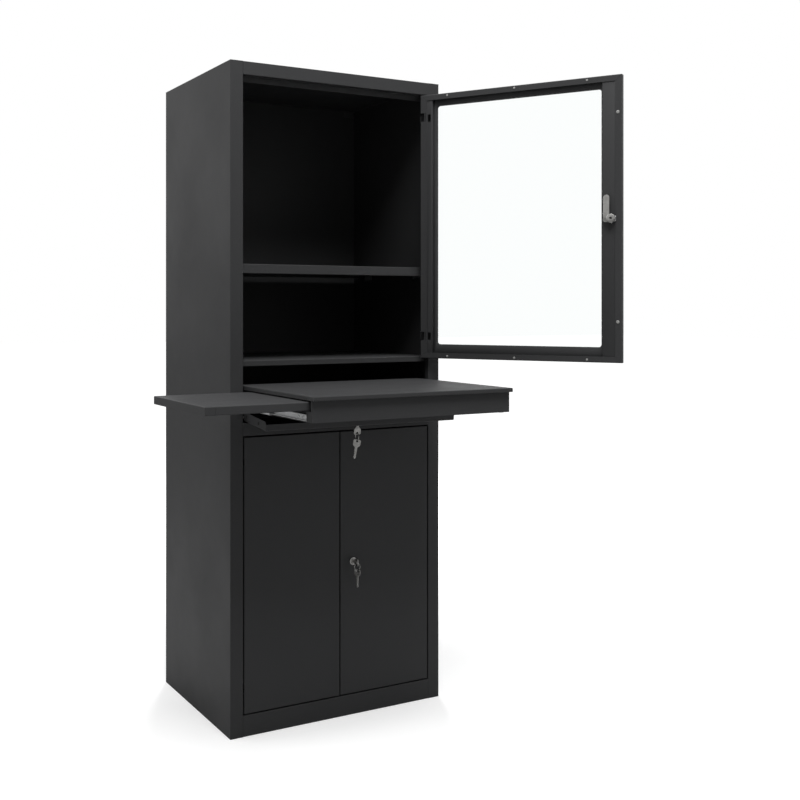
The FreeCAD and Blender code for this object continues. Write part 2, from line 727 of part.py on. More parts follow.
def tray_rail_back():
    high = WORKTOP_TOP - SHEET
    low = TRAY_TOP - TRAY_LIP - 3
    web = TRAY_BACK + RAIL_PLAY
    path = [(web - RAIL_LEDGE, low), (web, low), (web, high), (web - RAIL_LEDGE, high)]
    return folded(path, "YZ", RAIL_LEFT, RAIL_RIGHT, SHEET, False)


def tray_glides():
    """Nylon strips on the rails' ledges that the tray's lips run on."""
    z = TRAY_TOP - TRAY_LIP - 3 + SHEET
    rows = (TRAY_FRONT + 2, TRAY_BACK - 8)
    return [box(RAIL_LEFT + 4, RAIL_RIGHT - 4, y, y + 6, z, z + 1.2) for y in rows]


def mouse_tray():
    """Shallow tray with lips turned under along its front and back."""
    low = TRAY_TOP - TRAY_LIP
    right = TRAY_LEFT + TRAY_LENGTH
    shell = box(TRAY_LEFT, right, TRAY_FRONT, TRAY_BACK, low, TRAY_TOP)
    shell = shell.makeFillet(EDGE_ROUND, edges_along(shell, V(1, 0, 0), lambda p: True)
                             + edges_along(shell, V(0, 1, 0), lambda p: p.z > low + 1 and p.x < right - 1))
    hollow = box(TRAY_LEFT + SHEET, right - SHEET, TRAY_FRONT + SHEET, TRAY_BACK - SHEET,
                 low + SHEET, TRAY_TOP - SHEET)
    mouth = box(TRAY_LEFT + SHEET, right - SHEET, TRAY_FRONT + 9, TRAY_BACK - 9, low - 1, low + 5)
    seam = box(TRAY_LEFT + 25, TRAY_LEFT + 25.5, TRAY_FRONT - 1, TRAY_FRONT + 2, low - 1,
               TRAY_TOP - 3)
    return shell.cut([hollow, mouth, seam])


def carcass_nodes():
    nodes = {}
    right = side_panel()
    nodes["side_panel_right"] = [right]
    nodes["side_panel_left"] = [mirrored(right)]
    nodes["back_panel"] = [back_panel()]
    nodes["service_panel"] = [service_panel()]
    nodes["top_panel"] = [top_panel()]
    nodes["base_panel"] = [base_panel()]
    nodes["mid_rail"] = [mid_rail()]
    nodes["partition"] = [partition()]
    nodes["monitor_shelf"] = [shelf(SHELF_TOP, STOP, 205)]
    nodes["cupboard_shelf"] = [shelf(LOW_SHELF_TOP, -195, 205)]
    nodes["shelf_brackets"] = shelf_brackets()
    for name, make in (("slide_bracket", slide_bracket), ("slide_outer", slide_outer)):
        nodes[name + "_right"] = [make()]
        nodes[name + "_left"] = [mirrored(make())]
    nodes["cable_surround"] = [cable_surround()]
    nodes["flap_pivots"] = flap_pivots()
    nodes["door_catch"] = [door_catch()]
    nodes["upper_hinge_arms"] = [hinge_arm(z) for z in UPPER_HINGES]
    nodes["right_hinge_arms"] = [hinge_arm(z) for z in LOWER_HINGES]
    nodes["left_hinge_arms"] = [mirrored(hinge_arm(z)) for z in LOWER_HINGES]
    return nodes


def upper_door_nodes():
    nodes = {}
    nodes["upper_door_frame"] = [upper_door_frame()]
    nodes["glass_pane"] = [glass_pane()]
    nodes["glass_gasket"] = [glass_gasket()]
    nodes["upper_hinge_pins"] = [hinge_pin(z) for z in UPPER_HINGES]
    nodes["upper_buffers"] = upper_buffers()
    nodes["upper_lock_body"] = [placed(lock_body(26), UPPER_LOCK)]
    nodes["upper_lock_cam"] = [placed(lock_rotor(26, 59, 3, 5, (-2, 18)), UPPER_LOCK)]
    return {name: swung(shapes) for name, shapes in nodes.items()}


def lower_door_nodes():
    nodes = {}
    nodes["right_door_panel"] = [lower_door_panel(True)]
    nodes["left_door_panel"] = [mirrored(lower_door_panel(False))]
    nodes["right_door_stiffener"] = [lower_stiffener()]
    nodes["left_door_stiffener"] = [mirrored(lower_stiffener())]
    nodes["right_hinge_pins"] = [hinge_pin(z) for z in LOWER_HINGES]
    nodes["left_hinge_pins"] = [mirrored(hinge_pin(z)) for z in LOWER_HINGES]
    nodes["right_lock_body"] = [placed(lock_body(20), RIGHT_LOCK)]
    nodes["right_lock_cam"] = [placed(lock_rotor(20.5, 58, 3), RIGHT_LOCK)]
    nodes["right_lock_key"] = [placed(key_blank(), RIGHT_LOCK)]
    spare = Part.makeCompound(hanging_key())
    spare.translate(V(0, -KEY_HOLE, 0))
    nodes["right_hanging_key"] = [placed(spare, RIGHT_LOCK)]
    return nodes


def flap_nodes():
    nodes = {}
    nodes["flap_panel"] = [flap_panel()]
    nodes["flap_lock_body"] = [placed(lock_body(22), FLAP_LOCK)]
    rotor = lock_rotor(23, 24, 2.5)
    rotor.rotate(V(0, 0, 0), V(0, 1, 0), 90)
    nodes["flap_lock_cam"] = [placed(rotor, FLAP_LOCK)]
    key = key_blank()
    key.rotate(V(0, 0, 0), V(0, 1, 0), 90)
    nodes["flap_lock_key"] = [placed(key, FLAP_LOCK)]
    nodes = {name: folded_down(shapes) for name, shapes in nodes.items()}
    hole = folded_down([placed(Part.Vertex(0, -KEY_HOLE, 0), FLAP_LOCK)])[0].Point
    spare = Part.makeCompound(hanging_key())
    spare.rotate(V(0, 0, 0), V(0, 0, 1), 90)
    spare.translate(hole)
    nodes["flap_hanging_key"] = [spare]
    return nodes


def drawer_nodes():
    nodes = {}
    nodes["worktop"] = [worktop()]
    nodes["drawer_front"] = [drawer_front()]
    nodes["drawer_side_right"] = [drawer_side(WORKTOP_TOP - SHEET)]
    nodes["drawer_side_left"] = [mirrored(drawer_side(DRAWER_LOW + 26))]
    nodes["drawer_back"] = [drawer_back()]
    nodes["tray_rail_front"] = [tray_rail_front()]
    nodes["tray_rail_back"] = [tray_rail_back()]
    nodes["tray_glides"] = tray_glides()
    nodes["mouse_tray"] = [mouse_tray()]
    for name, make in (("slide_middle", slide_middle), ("slide_inner", slide_inner)):
        nodes[name + "_right"] = [make()]
        nodes[name + "_left"] = [mirrored(make())]
    return nodes


def build():
    nodes = {}
    for group in (carcass_nodes, upper_door_nodes, lower_door_nodes, flap_nodes, drawer_nodes):
        nodes.update(group())
    return nodes


os.makedirs("parts", exist_ok=True)
for name, shapes in build().items():
    shape = shapes[0] if len(shapes) == 1 else Part.makeCompound(shapes)
    shape.exportStep("parts/" + name + ".step")
    solids = len(shape.Solids)
    print(name, solids, shape.isValid(), round(shape.Volume / 1000, 1))
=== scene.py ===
import bpy
import bmesh
import json
import math
from mathutils import Matrix, Vector


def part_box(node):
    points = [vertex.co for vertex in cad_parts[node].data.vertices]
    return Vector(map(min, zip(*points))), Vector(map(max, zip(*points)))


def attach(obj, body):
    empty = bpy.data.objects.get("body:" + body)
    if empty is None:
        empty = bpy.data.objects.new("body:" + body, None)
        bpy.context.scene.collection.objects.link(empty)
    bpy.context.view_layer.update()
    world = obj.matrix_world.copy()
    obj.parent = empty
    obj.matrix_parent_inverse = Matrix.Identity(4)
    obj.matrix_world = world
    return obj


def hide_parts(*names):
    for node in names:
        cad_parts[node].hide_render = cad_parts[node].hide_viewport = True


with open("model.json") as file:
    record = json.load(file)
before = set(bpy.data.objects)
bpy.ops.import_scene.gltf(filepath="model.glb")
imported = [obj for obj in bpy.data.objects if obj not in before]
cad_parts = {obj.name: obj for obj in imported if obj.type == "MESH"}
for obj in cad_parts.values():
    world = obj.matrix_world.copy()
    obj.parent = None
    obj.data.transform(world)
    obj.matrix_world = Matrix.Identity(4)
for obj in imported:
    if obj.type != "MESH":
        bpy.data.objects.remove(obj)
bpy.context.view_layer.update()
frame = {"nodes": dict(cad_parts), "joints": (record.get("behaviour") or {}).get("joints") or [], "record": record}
print("frame loaded:", len(frame["nodes"]), "nodes")

# camera, set to the eye point that the cabinet's edges lead back to
cameraSettings = {
    "eye": (-1.415544, -2.768229, 1.117838),
    "turnDegrees": 28.4535,   # to the right of straight in
    "lens": 47.70,
    "sensor": 36,
    "shiftX": 0.09375,
    "shiftY": -0.1155,
}


def makeCamera(settings):
    turn = math.radians(settings["turnDegrees"])
    bpy.ops.object.camera_add(location=settings["eye"], rotation=(math.radians(90), 0, -turn))
    camera = bpy.context.object
    camera.data.lens = settings["lens"]
    camera.data.sensor_width = settings["sensor"]
    camera.data.shift_x = settings["shiftX"]
    camera.data.shift_y = settings["shiftY"]
    bpy.context.scene.camera = camera


makeCamera(cameraSettings)
print("camera placed")


def newMaterial(name):
    material = bpy.data.materials.new(name)
    material.use_nodes = True
    nodes = material.node_tree.nodes
    nodes.clear()
    nodes.new("ShaderNodeOutputMaterial")
    return material, material.node_tree


def addNode(tree, kind, values=None, **settings):
    node = tree.nodes.new(kind)
    for key, value in settings.items():
        setattr(node, key, value)
    for key, value in (values or {}).items():
        node.inputs[key].default_value = value
    return node


def startGroup(name, inputs):
    # a node group with these inputs, and the three outputs that every finish has
    group = bpy.data.node_groups.new(name, "ShaderNodeTree")
    for socketName, kind, value in inputs:
        socket = group.interface.new_socket(name=socketName, in_out="INPUT",
                                            socket_type="NodeSocket" + kind)
        socket.default_value = value
    for socketName, kind in (("Color", "Color"), ("Roughness", "Float"), ("Height", "Float")):
        group.interface.new_socket(name=socketName, in_out="OUTPUT",
                                   socket_type="NodeSocket" + kind)
    return group, addNode(group, "NodeGroupInput"), addNode(group, "NodeGroupOutput")


powderForm = {
    "cloud": {"Scale": 3.5, "Detail": 4.0, "Roughness": 0.6},
    "grain": {"Detail": 3.0, "Roughness": 0.55},
    "fleck": {"Scale": 260.0, "Detail": 2.0},
    "fleckTone": {"From Min": 0.3, "From Max": 0.7, "To Min": -0.04, "To Max": 0.04},
    "sheenSpread": 0.35,    # how far the cloudiness shows in the roughness
}


def makePowderGrain():
    # orange-peel texture of baked powder, with faint cloudiness and dust
    form = powderForm
    group, start, end = startGroup("powderGrain", (
        ("Base", "Color", (0.02, 0.02, 0.021, 1)), ("Cloud", "Float", 0.12),
        ("Grain Size", "Float", 900.0), ("Roughness", "Float", 0.5)))
    place = addNode(group, "ShaderNodeTexCoord")
    cloud = addNode(group, "ShaderNodeTexNoise", form["cloud"])
    grain = addNode(group, "ShaderNodeTexNoise", form["grain"])
    fleck = addNode(group, "ShaderNodeTexNoise", form["fleck"])
    for texture in (cloud, grain, fleck):
        group.links.new(place.outputs["Object"], texture.inputs["Vector"])
    group.links.new(start.outputs["Grain Size"], grain.inputs["Scale"])
    centred = addNode(group, "ShaderNodeMath", {1: 0.5}, operation="SUBTRACT")
    group.links.new(cloud.outputs["Fac"], centred.inputs[0])
    amount = addNode(group, "ShaderNodeMath", operation="MULTIPLY")
    group.links.new(centred.outputs[0], amount.inputs[0])
    group.links.new(start.outputs["Cloud"], amount.inputs[1])
    speck = addNode(group, "ShaderNodeMapRange", form["fleckTone"])
    group.links.new(fleck.outputs["Fac"], speck.inputs["Value"])
    total = addNode(group, "ShaderNodeMath", operation="ADD")
    group.links.new(amount.outputs[0], total.inputs[0])
    group.links.new(speck.outputs["Result"], total.inputs[1])
    gain = addNode(group, "ShaderNodeMath", {1: 1.0}, operation="ADD")
    group.links.new(total.outputs[0], gain.inputs[0])
    tint = addNode(group, "ShaderNodeVectorMath", operation="SCALE")
    group.links.new(start.outputs["Base"], tint.inputs[0])
    group.links.new(gain.outputs[0], tint.inputs["Scale"])
    group.links.new(tint.outputs[0], end.inputs["Color"])
    rough = addNode(group, "ShaderNodeMath", {1: form["sheenSpread"]}, operation="MULTIPLY")
    group.links.new(centred.outputs[0], rough.inputs[0])
    roughSum = addNode(group, "ShaderNodeMath", operation="ADD", use_clamp=True)
    group.links.new(rough.outputs[0], roughSum.inputs[0])
    group.links.new(start.outputs["Roughness"], roughSum.inputs[1])
    group.links.new(roughSum.outputs[0], end.inputs["Roughness"])
    group.links.new(grain.outputs["Fac"], end.inputs["Height"])
    return group


plateForm = {
    "lines": {"Scale": 1.0, "Detail": 3.0},
    "lineSheen": {"From Min": 0.3, "From Max": 0.7, "To Min": -0.08, "To Max": 0.08},
    "stain": {"Scale": 45.0, "Detail": 5.0, "Roughness": 0.65},
    "stainTone": {"From Min": 0.35, "From Max": 0.75, "To Min": 1.0},
}


def makePlateWear():
    # drawn and plated steel: fine lines one way, faint stains
    form = plateForm
    group, start, end = startGroup("plateWear", (
        ("Base", "Color", (0.6, 0.6, 0.6, 1)), ("Roughness", "Float", 0.3),
        ("Stain", "Float", 0.2), ("Line Stretch", "Vector", (400.0, 12.0, 400.0))))
    place = addNode(group, "ShaderNodeTexCoord")
    stretched = addNode(group, "ShaderNodeVectorMath", operation="MULTIPLY")
    group.links.new(place.outputs["Object"], stretched.inputs[0])
    group.links.new(start.outputs["Line Stretch"], stretched.inputs[1])
    lines = addNode(group, "ShaderNodeTexNoise", form["lines"])
    group.links.new(stretched.outputs[0], lines.inputs["Vector"])
    stain = addNode(group, "ShaderNodeTexNoise", form["stain"])
    group.links.new(place.outputs["Object"], stain.inputs["Vector"])
    shade = addNode(group, "ShaderNodeMapRange", form["stainTone"])
    group.links.new(stain.outputs["Fac"], shade.inputs["Value"])
    darkest = addNode(group, "ShaderNodeMath", {0: 1.0}, operation="SUBTRACT")
    group.links.new(start.outputs["Stain"], darkest.inputs[1])
    group.links.new(darkest.outputs[0], shade.inputs["To Max"])
    tint = addNode(group, "ShaderNodeVectorMath", operation="SCALE")
    group.links.new(start.outputs["Base"], tint.inputs[0])
    group.links.new(shade.outputs["Result"], tint.inputs["Scale"])
    group.links.new(tint.outputs[0], end.inputs["Color"])
    spread = addNode(group, "ShaderNodeMapRange", form["lineSheen"])
    group.links.new(lines.outputs["Fac"], spread.inputs["Value"])
    rough = addNode(group, "ShaderNodeMath", operation="ADD", use_clamp=True)
    group.links.new(spread.outputs["Result"], rough.inputs[0])
    group.links.new(start.outputs["Roughness"], rough.inputs[1])
    group.links.new(rough.outputs[0], end.inputs["Roughness"])
    group.links.new(lines.outputs["Fac"], end.inputs["Height"])
    return group


powderGrain = makePowderGrain()
plateWear = makePlateWear()


def finishMaterial(name, group, groupValues, shaderValues, bumpStrength, bumpDistance):
    material, tree = newMaterial(name)
    source = addNode(tree, "ShaderNodeGroup")
    source.node_tree = group
    for key, value in groupValues.items():
        source.inputs[key].default_value = value
    shader = addNode(tree, "ShaderNodeBsdfPrincipled", shaderValues)
    bump = addNode(tree, "ShaderNodeBump", {"Strength": bumpStrength, "Distance": bumpDistance})
    tree.links.new(source.outputs["Color"], shader.inputs["Base Color"])
    tree.links.new(source.outputs["Roughness"], shader.inputs["Roughness"])
    tree.links.new(source.outputs["Height"], bump.inputs["Height"])
    tree.links.new(bump.outputs["Normal"], shader.inputs["Normal"])
    tree.links.new(shader.outputs["BSDF"], tree.nodes["Material Output"].inputs["Surface"])
    return material


def makeGlass():
    material, tree = newMaterial("clearGlass")
    shader = addNode(tree, "ShaderNodeBsdfPrincipled",
                     {"Base Color": (0.97, 0.99, 0.985, 1), "Roughness": 0.0, "IOR": 1.5,
                      "Transmission Weight": 1.0})
    tree.links.new(shader.outputs["BSDF"], tree.nodes["Material Output"].inputs["Surface"])
    return material


powderCoat = finishMaterial(
    "powderCoat", powderGrain,
    {"Base": (0.030, 0.0303, 0.0312, 1), "Cloud": 0.10, "Grain Size": 900.0, "Roughness": 0.5},
    {"Specular IOR Level": 0.12}, bumpStrength=0.12, bumpDistance=0.0004)
zincPlate = finishMaterial(
    "zincPlate", plateWear,
    {"Base": (0.64, 0.645, 0.65, 1), "Roughness": 0.36, "Stain": 0.16},
    {"Metallic": 1.0}, bumpStrength=0.08, bumpDistance=0.0002)
# nickel kept dark: painted shade on lock parts that the front lamp lights directly; the lock rotors take it in
# place of zinc, and keys and rings take it too
nickelWithPaintedShade = finishMaterial(
    "nickelWithPaintedShade", plateWear,
    {"Base": (0.30, 0.297, 0.288, 1), "Roughness": 0.32, "Stain": 0.28},
    {"Metallic": 1.0}, bumpStrength=0.05, bumpDistance=0.0002)
blackRubber = finishMaterial(
    "blackRubber", powderGrain,
    {"Base": (0.007, 0.007, 0.007, 1), "Cloud": 0.25, "Grain Size": 500.0, "Roughness": 0.75},
    {"Specular IOR Level": 0.15}, bumpStrength=0.2, bumpDistance=0.0003)
paleNylon = finishMaterial(
    "paleNylon", powderGrain,
    {"Base": (0.20, 0.20, 0.195, 1), "Cloud": 0.12, "Grain Size": 700.0, "Roughness": 0.45},
    {"Specular IOR Level": 0.45}, bumpStrength=0.1, bumpDistance=0.0003)
darkMoulding = finishMaterial(
    "darkMoulding", powderGrain,
    {"Base": (0.03, 0.03, 0.03, 1), "Cloud": 0.1, "Grain Size": 650.0, "Roughness": 0.5},
    {"Specular IOR Level": 0.4}, bumpStrength=0.1, bumpDistance=0.0003)
clearGlass = makeGlass()
print("finishes made")

finishOfSlot = {
    "anthracite": powderCoat, "zinc": zincPlate, "nickel": nickelWithPaintedShade, "glass": clearGlass,
    "rubber": blackRubber, "pale_plastic": paleNylon, "dark_plastic": darkMoulding,
}
slotOfNode = {row["node"]: row["material_slot"] for row in frame["record"]["subparts"]}
for nodeName, cadNode in frame["nodes"].items():
    material = finishOfSlot[slotOfNode[nodeName]]
    if not cadNode.material_slots:
        cadNode.data.materials.append(material)
    for materialSlot in cadNode.material_slots:
        materialSlot.material = material
print("CAD nodes finished")


hair = 0.0001     # slack when a face or an edge is picked by its place
same = 1e-6       # two places this close count as one
facing = 0.9      # a face looks along an axis when its normal goes this far along it
cutPast = 0.01    # how far a cutter runs past what it cuts
rimMiddle = 0.3   # a rounded rim's middle point, in parts of its width


def clearSelection():
    bpy.ops.object.select_all(action="DESELECT")


def takeUp(piece):
    # makes one piece the selected and active one
    clearSelection()
    piece.select_set(True)
    bpy.context.view_layer.objects.active = piece


def editPiece(piece):
    takeUp(piece)
    bpy.ops.object.mode_set(mode="EDIT")


def leaveEdit():
    bpy.ops.object.mode_set(mode="OBJECT")


def nameNew(name):
    # the object that an add operator has just made, with its place put into its mesh
    piece = bpy.context.object
    piece.name = name
    piece.data.name = name
    bpy.ops.object.transform_apply(location=True, rotation=True, scale=True)
    return piece


def addBlock(name, low, high):
    clearSelection()
    size = Vector(high) - Vector(low)
    middle = (Vector(high) + Vector(low)) / 2
    bpy.ops.mesh.primitive_cube_add(size=1, location=middle, scale=size)
    return nameNew(name)


def pickFaces(piece, test):
    # in edit mode: selects the faces whose middle and normal pass the test
    bpy.ops.mesh.select_mode(type="FACE")
    bpy.ops.mesh.select_all(action="DESELECT")
    mesh = bmesh.from_edit_mesh(piece.data)
    for face in mesh.faces:
        if test(face.calc_center_median(), face.normal):
            face.select_set(True)
    bmesh.update_edit_mesh(piece.data)


def pickEdges(piece, test):
    # in edit mode: selects the edges whose two ends pass the test
    bpy.ops.mesh.select_mode(type="EDGE")
    bpy.ops.mesh.select_all(action="DESELECT")
    mesh = bmesh.from_edit_mesh(piece.data)
    for edge in mesh.edges:
        if test(edge.verts[0].co, edge.verts[1].co):
            edge.select_set(True)
    bmesh.update_edit_mesh(piece.data)


def extrudeFaces(move, grow=(1, 1, 1)):
    # grow scales the new face about the piece's own axis
    bpy.ops.mesh.extrude_region_move(TRANSFORM_OT_translate={"value": move})
    if grow != (1, 1, 1):
        bpy.ops.transform.resize(value=grow, center_override=(0, 0, 0))


def applyModifier(piece, kind, **settings):
    takeUp(piece)
    modifier = piece.modifiers.new(kind.lower(), kind)
    for key, value in settings.items():
        setattr(modifier, key, value)
    bpy.ops.object.modifier_apply(modifier=modifier.name)


def softenEdges(piece, width, degrees=30):
    applyModifier(piece, "BEVEL", width=width, segments=2, limit_method="ANGLE",
                  angle_limit=math.radians(degrees))


def cutAway(piece, cutter, operation="DIFFERENCE"):
    applyModifier(piece, "BOOLEAN", object=cutter, operation=operation, solver="EXACT")
    bpy.data.objects.remove(cutter, do_unlink=True)


def turnProfile(name, profile, sides=48, hollow=False):
    # a circle extruded and scaled along (radius, depth) steps about the Y axis, as on a lathe
    clearSelection()
    radius, depth = profile[0]
    bpy.ops.mesh.primitive_circle_add(vertices=sides, radius=radius, location=(0, depth, 0),
                                      rotation=(math.radians(90), 0, 0))
    piece = nameNew(name)
    bpy.ops.object.mode_set(mode="EDIT")
    bpy.ops.mesh.select_mode(type="EDGE")
    bpy.ops.mesh.select_all(action="SELECT")
    for nextRadius, nextDepth in profile[1:]:
        bpy.ops.mesh.extrude_edges_move(TRANSFORM_OT_translate={"value": (0, nextDepth - depth, 0)})
        grow = nextRadius / radius
        bpy.ops.transform.resize(value=(grow, 1, grow), center_override=(0, nextDepth, 0))
        radius, depth = nextRadius, nextDepth
    if hollow:
        bpy.ops.mesh.select_all(action="DESELECT")
        bpy.ops.mesh.select_non_manifold(extend=False)
        bpy.ops.mesh.bridge_edge_loops()
    else:
        bpy.ops.mesh.select_all(action="SELECT")
        bpy.ops.mesh.fill_holes(sides=0)
    bpy.ops.mesh.select_all(action="SELECT")
    bpy.ops.mesh.normals_make_consistent(inside=False)
    leaveEdit()
    return piece


def scaleSteps(steps, radius, height):
    # a lathe profile from its steps in parts of a radius and of a height
    return [(across * radius, along * height) for across, along in steps]


def cutHexagon(piece, corner, base, height):
    # keeps what lies inside a hexagon about the Y axis
    clearSelection()
    bpy.ops.mesh.primitive_cylinder_add(vertices=6, radius=corner, depth=2 * (height + cutPast),
                                        location=(0, base, 0), rotation=(math.radians(90), 0, 0))
    cutAway(piece, nameNew("hexagon"), "INTERSECT")


def cutCross(piece, width, reach, floor):
    # two crossed slots in a head that faces +Y, down to the floor
    half = width / 2
    for x, z in ((half, reach), (reach, half)):
        cutAway(piece, addBlock("crossSlot", (-x, floor, -z), (x, floor + cutPast, z)))


def copyPiece(piece, name):
    takeUp(piece)
    bpy.ops.object.duplicate(linked=False)
    twin = bpy.context.object
    twin.name = name
    twin.data.name = name
    return twin


def joinPieces(pieces, name):
    clearSelection()
    for piece in pieces:
        piece.select_set(True)
    bpy.context.view_layer.objects.active = pieces[0]
    bpy.ops.object.join()
    whole = bpy.context.object
    whole.name = name
    whole.data.name = name
    return whole


def movePiece(piece, matrix):
    # puts a place into the mesh, so that the object itself stays at the origin
    takeUp(piece)
    piece.matrix_world = matrix
    bpy.ops.object.transform_apply(location=True, rotation=True, scale=True)


def finishPiece(piece, body, slotName, degrees=35, stands=()):
    takeUp(piece)
    bpy.ops.object.shade_smooth_by_angle(angle=math.radians(degrees))
    piece.data.materials.clear()
    piece.data.materials.append(finishOfSlot[slotName])
    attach(piece, body)
    if stands:
        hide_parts(*stands)


jointOf = {joint["name"]: joint for joint in frame["joints"]}


def lockPlace(jointName, guide):
    # a lock's own axes: Y goes into the door, Z towards the guide
    joint = jointOf[jointName]
    inward = -Vector(joint["axis"])
    side = inward.cross(Vector(guide)).normalized()
    up = side.cross(inward)
    turn = Matrix((side, inward, up)).transposed().to_4x4()
    return Matrix.Translation(Vector(joint["pos_m"])) @ turn


upperLockPlace = lockPlace("upper_lock_turn", (0, 0, 1))
rightLockPlace = lockPlace("right_lock_turn", (0, 0, 1))
flapLockPlace = lockPlace("flap_lock_turn", (0, -1, 0))
flapTurn = Matrix.Rotation(math.radians(90), 4, "Y")

lockBody = {
    "bezelRadius": 0.0103,
    "bezelDepth": 0.0025,
    "bezelSoft": 0.0007,
    "bezelStep": 0.0002,    # where the bezel meets the door
    "lead": 0.0008,         # chamfer into the plug
    "barrelRadius": 0.0089,
    "boreRadius": 0.00606,
    "threadStart": 0.0022,
    "threadPitch": 0.001,
    "threadDepth": 0.00035,
    "plainEnd": 0.0016,
    "endSoft": 0.0006,
}
lockNut = {"acrossFlats": 0.021, "height": 0.0026, "chamfer": 0.0008, "boreSoft": 0.0004,
           "clear": 0.00005}


def makeLockBody(name, length):
    form = lockBody
    bezel, deep, soft = form["bezelRadius"], form["bezelDepth"], form["bezelSoft"]
    barrel, bore = form["barrelRadius"], form["boreRadius"]
    lead, step = form["lead"], form["bezelStep"]
    profile = [(bore, -deep + lead), (bore + lead, -deep), (bezel - 2 * soft, -deep),
               (bezel - soft, -deep + rimMiddle * soft), (bezel, -deep + soft), (bezel, -step),
               (bezel - step, 0), (barrel, 0)]
    depth = form["threadStart"]
    while depth < length - form["plainEnd"]:
        profile.append((barrel, depth))
        profile.append((barrel - form["threadDepth"], depth + form["threadPitch"] / 2))
        depth += form["threadPitch"]
    profile += [(barrel - form["endSoft"], length), (bore, length)]
    return turnProfile(name, profile, hollow=True)


def makeLockNut(name):
    form = lockNut
    inner = lockBody["barrelRadius"] + form["clear"]
    corner = form["acrossFlats"] / math.sqrt(3)
    high, chamfer, soft = form["height"], form["chamfer"], form["boreSoft"]
    profile = [(inner, 0), (corner - chamfer, 0), (corner, chamfer / 2),
               (corner, high - chamfer / 2), (corner - chamfer, high), (inner + soft, high),
               (inner, high - soft)]
    nut = turnProfile(name, profile, hollow=True)
    cutHexagon(nut, corner, 0, high)
    return nut


lockHousings = (
    # door, place, length behind the face, the nut's seat, and the body that carries them
    ("upper", upperLockPlace, 0.026, 0.0185, "upper_door"),
    ("right", rightLockPlace, 0.020, 0.0015, "right_door"),
    ("flap", flapLockPlace, 0.022, 0.0015, "flap"),
)
for doorName, place, length, seat, body in lockHousings:
    housing = makeLockBody(doorName + "LockHousing", length)
    movePiece(housing, place)
    finishPiece(housing, body, "nickel", degrees=40, stands=(doorName + "_lock_body",))
    nut = makeLockNut(doorName + "LockNut")
    movePiece(nut, place @ Matrix.Translation((0, seat, 0)))
    finishPiece(nut, body, "zinc", degrees=30)
print("lock housings and nuts made")

lockPlug = {"radius": 0.006, "proud": 0.0022, "dish": 0.0004, "soft": 0.0005,
            "slotHalf": (0.0011, 0.004), "slotStop": 0.0008, "tail": 0.0005}
camScrew = {"headRadius": 0.0044, "headHeight": 0.0032,
            # inward from the head's corners, and up it in parts of its height
            "crown": ((0, 0.7), (0.0005, 0.95), (0.0012, 1)),
            "washerRadius": 0.0068, "washerHeight": 0.0009, "washerHole": 0.0028,
            "slot": 0.0011, "slotReach": 0.0028, "slotFloor": 0.45, "sides": 32}


def makePlug(name, length):
    form = lockPlug
    radius, front, soft = form["radius"], -form["proud"], form["soft"]
    profile = [(radius - 3 * soft, front + form["dish"]), (radius - 2 * soft, front),
               (radius - soft, front), (radius, front + soft), (radius, length + form["tail"])]
    plug = turnProfile(name, profile)
    halfX, halfZ = form["slotHalf"]
    keyway = addBlock("keyway", (-halfX, front - cutPast, -halfZ),
                      (halfX, length - form["slotStop"], halfZ))
    cutAway(plug, keyway)
    return plug


def makeCamScrew(name, seat):
    # hexagon head with a cross slot, on a plain washer
    form = camScrew
    high, sides = form["headHeight"], form["sides"]
    hole, rim = form["washerHole"], form["washerRadius"]
    base = seat + form["washerHeight"]
    washer = turnProfile(name + "Washer", [(hole, seat), (rim, seat), (rim, base), (hole, base)],
                         sides, hollow=True)
    corner = form["headRadius"]
    crown = [(corner - inward, base + rise * high) for inward, rise in form["crown"]]
    head = turnProfile(name, [(corner, base)] + crown, sides)
    cutHexagon(head, corner, base, high)
    cutCross(head, form["slot"], form["slotReach"], base + form["slotFloor"] * high)
    return joinPieces([head, washer], name)


upperCam = {"hub": 0.0095, "left": 0.0045, "right": 0.0205, "reach": 0.0615, "seat": 0.0264,
            "gauge": 0.003, "lap": 0.002, "crank": 0.0012, "bend": (0.012, 0.030),
            # rounds, in parts of the arm's width at the toe and of the hub elsewhere
            "toeRound": 0.48, "heelRound": 0.9, "cornerRound": 0.6, "soft": 0.0004}
hubCollar = {"radius": 0.0118, "height": 0.0045, "hole": 0.0034, "recess": 0.003,
             "holeSoft": 0.0004, "soft": 0.0012}
straightCam = {"half": 0.0095, "heelRound": 0.96, "toeRound": 0.5, "soft": 0.0004}


def sameLine(a, b, axes):
    # whether two ends differ along the one axis that is left out
    return all(abs(getattr(a, axis) - getattr(b, axis)) < same for axis in axes)


def roundCorners(piece, test, width):
    # rounds the plate's short edges, those through its thickness
    editPiece(piece)
    pickEdges(piece, lambda a, b: sameLine(a, b, "xz") and test(a))
    bpy.ops.mesh.bevel(offset=width, segments=8, affect="EDGES")
    leaveEdit()


def makeStraightCam(name, seat, reach, gauge):
    form = straightCam
    half = form["half"]
    cam = addBlock(name, (-half, seat, -half), (half, seat + gauge, half))
    editPiece(cam)
    pickFaces(cam, lambda middle, normal: normal.z > facing)
    extrudeFaces((0, 0, reach - half))
    leaveEdit()
    roundCorners(cam, lambda a: a.z < 0, half * form["heelRound"])
    roundCorners(cam, lambda a: a.z > reach - hair, half * form["toeRound"])
    softenEdges(cam, form["soft"])
    return cam


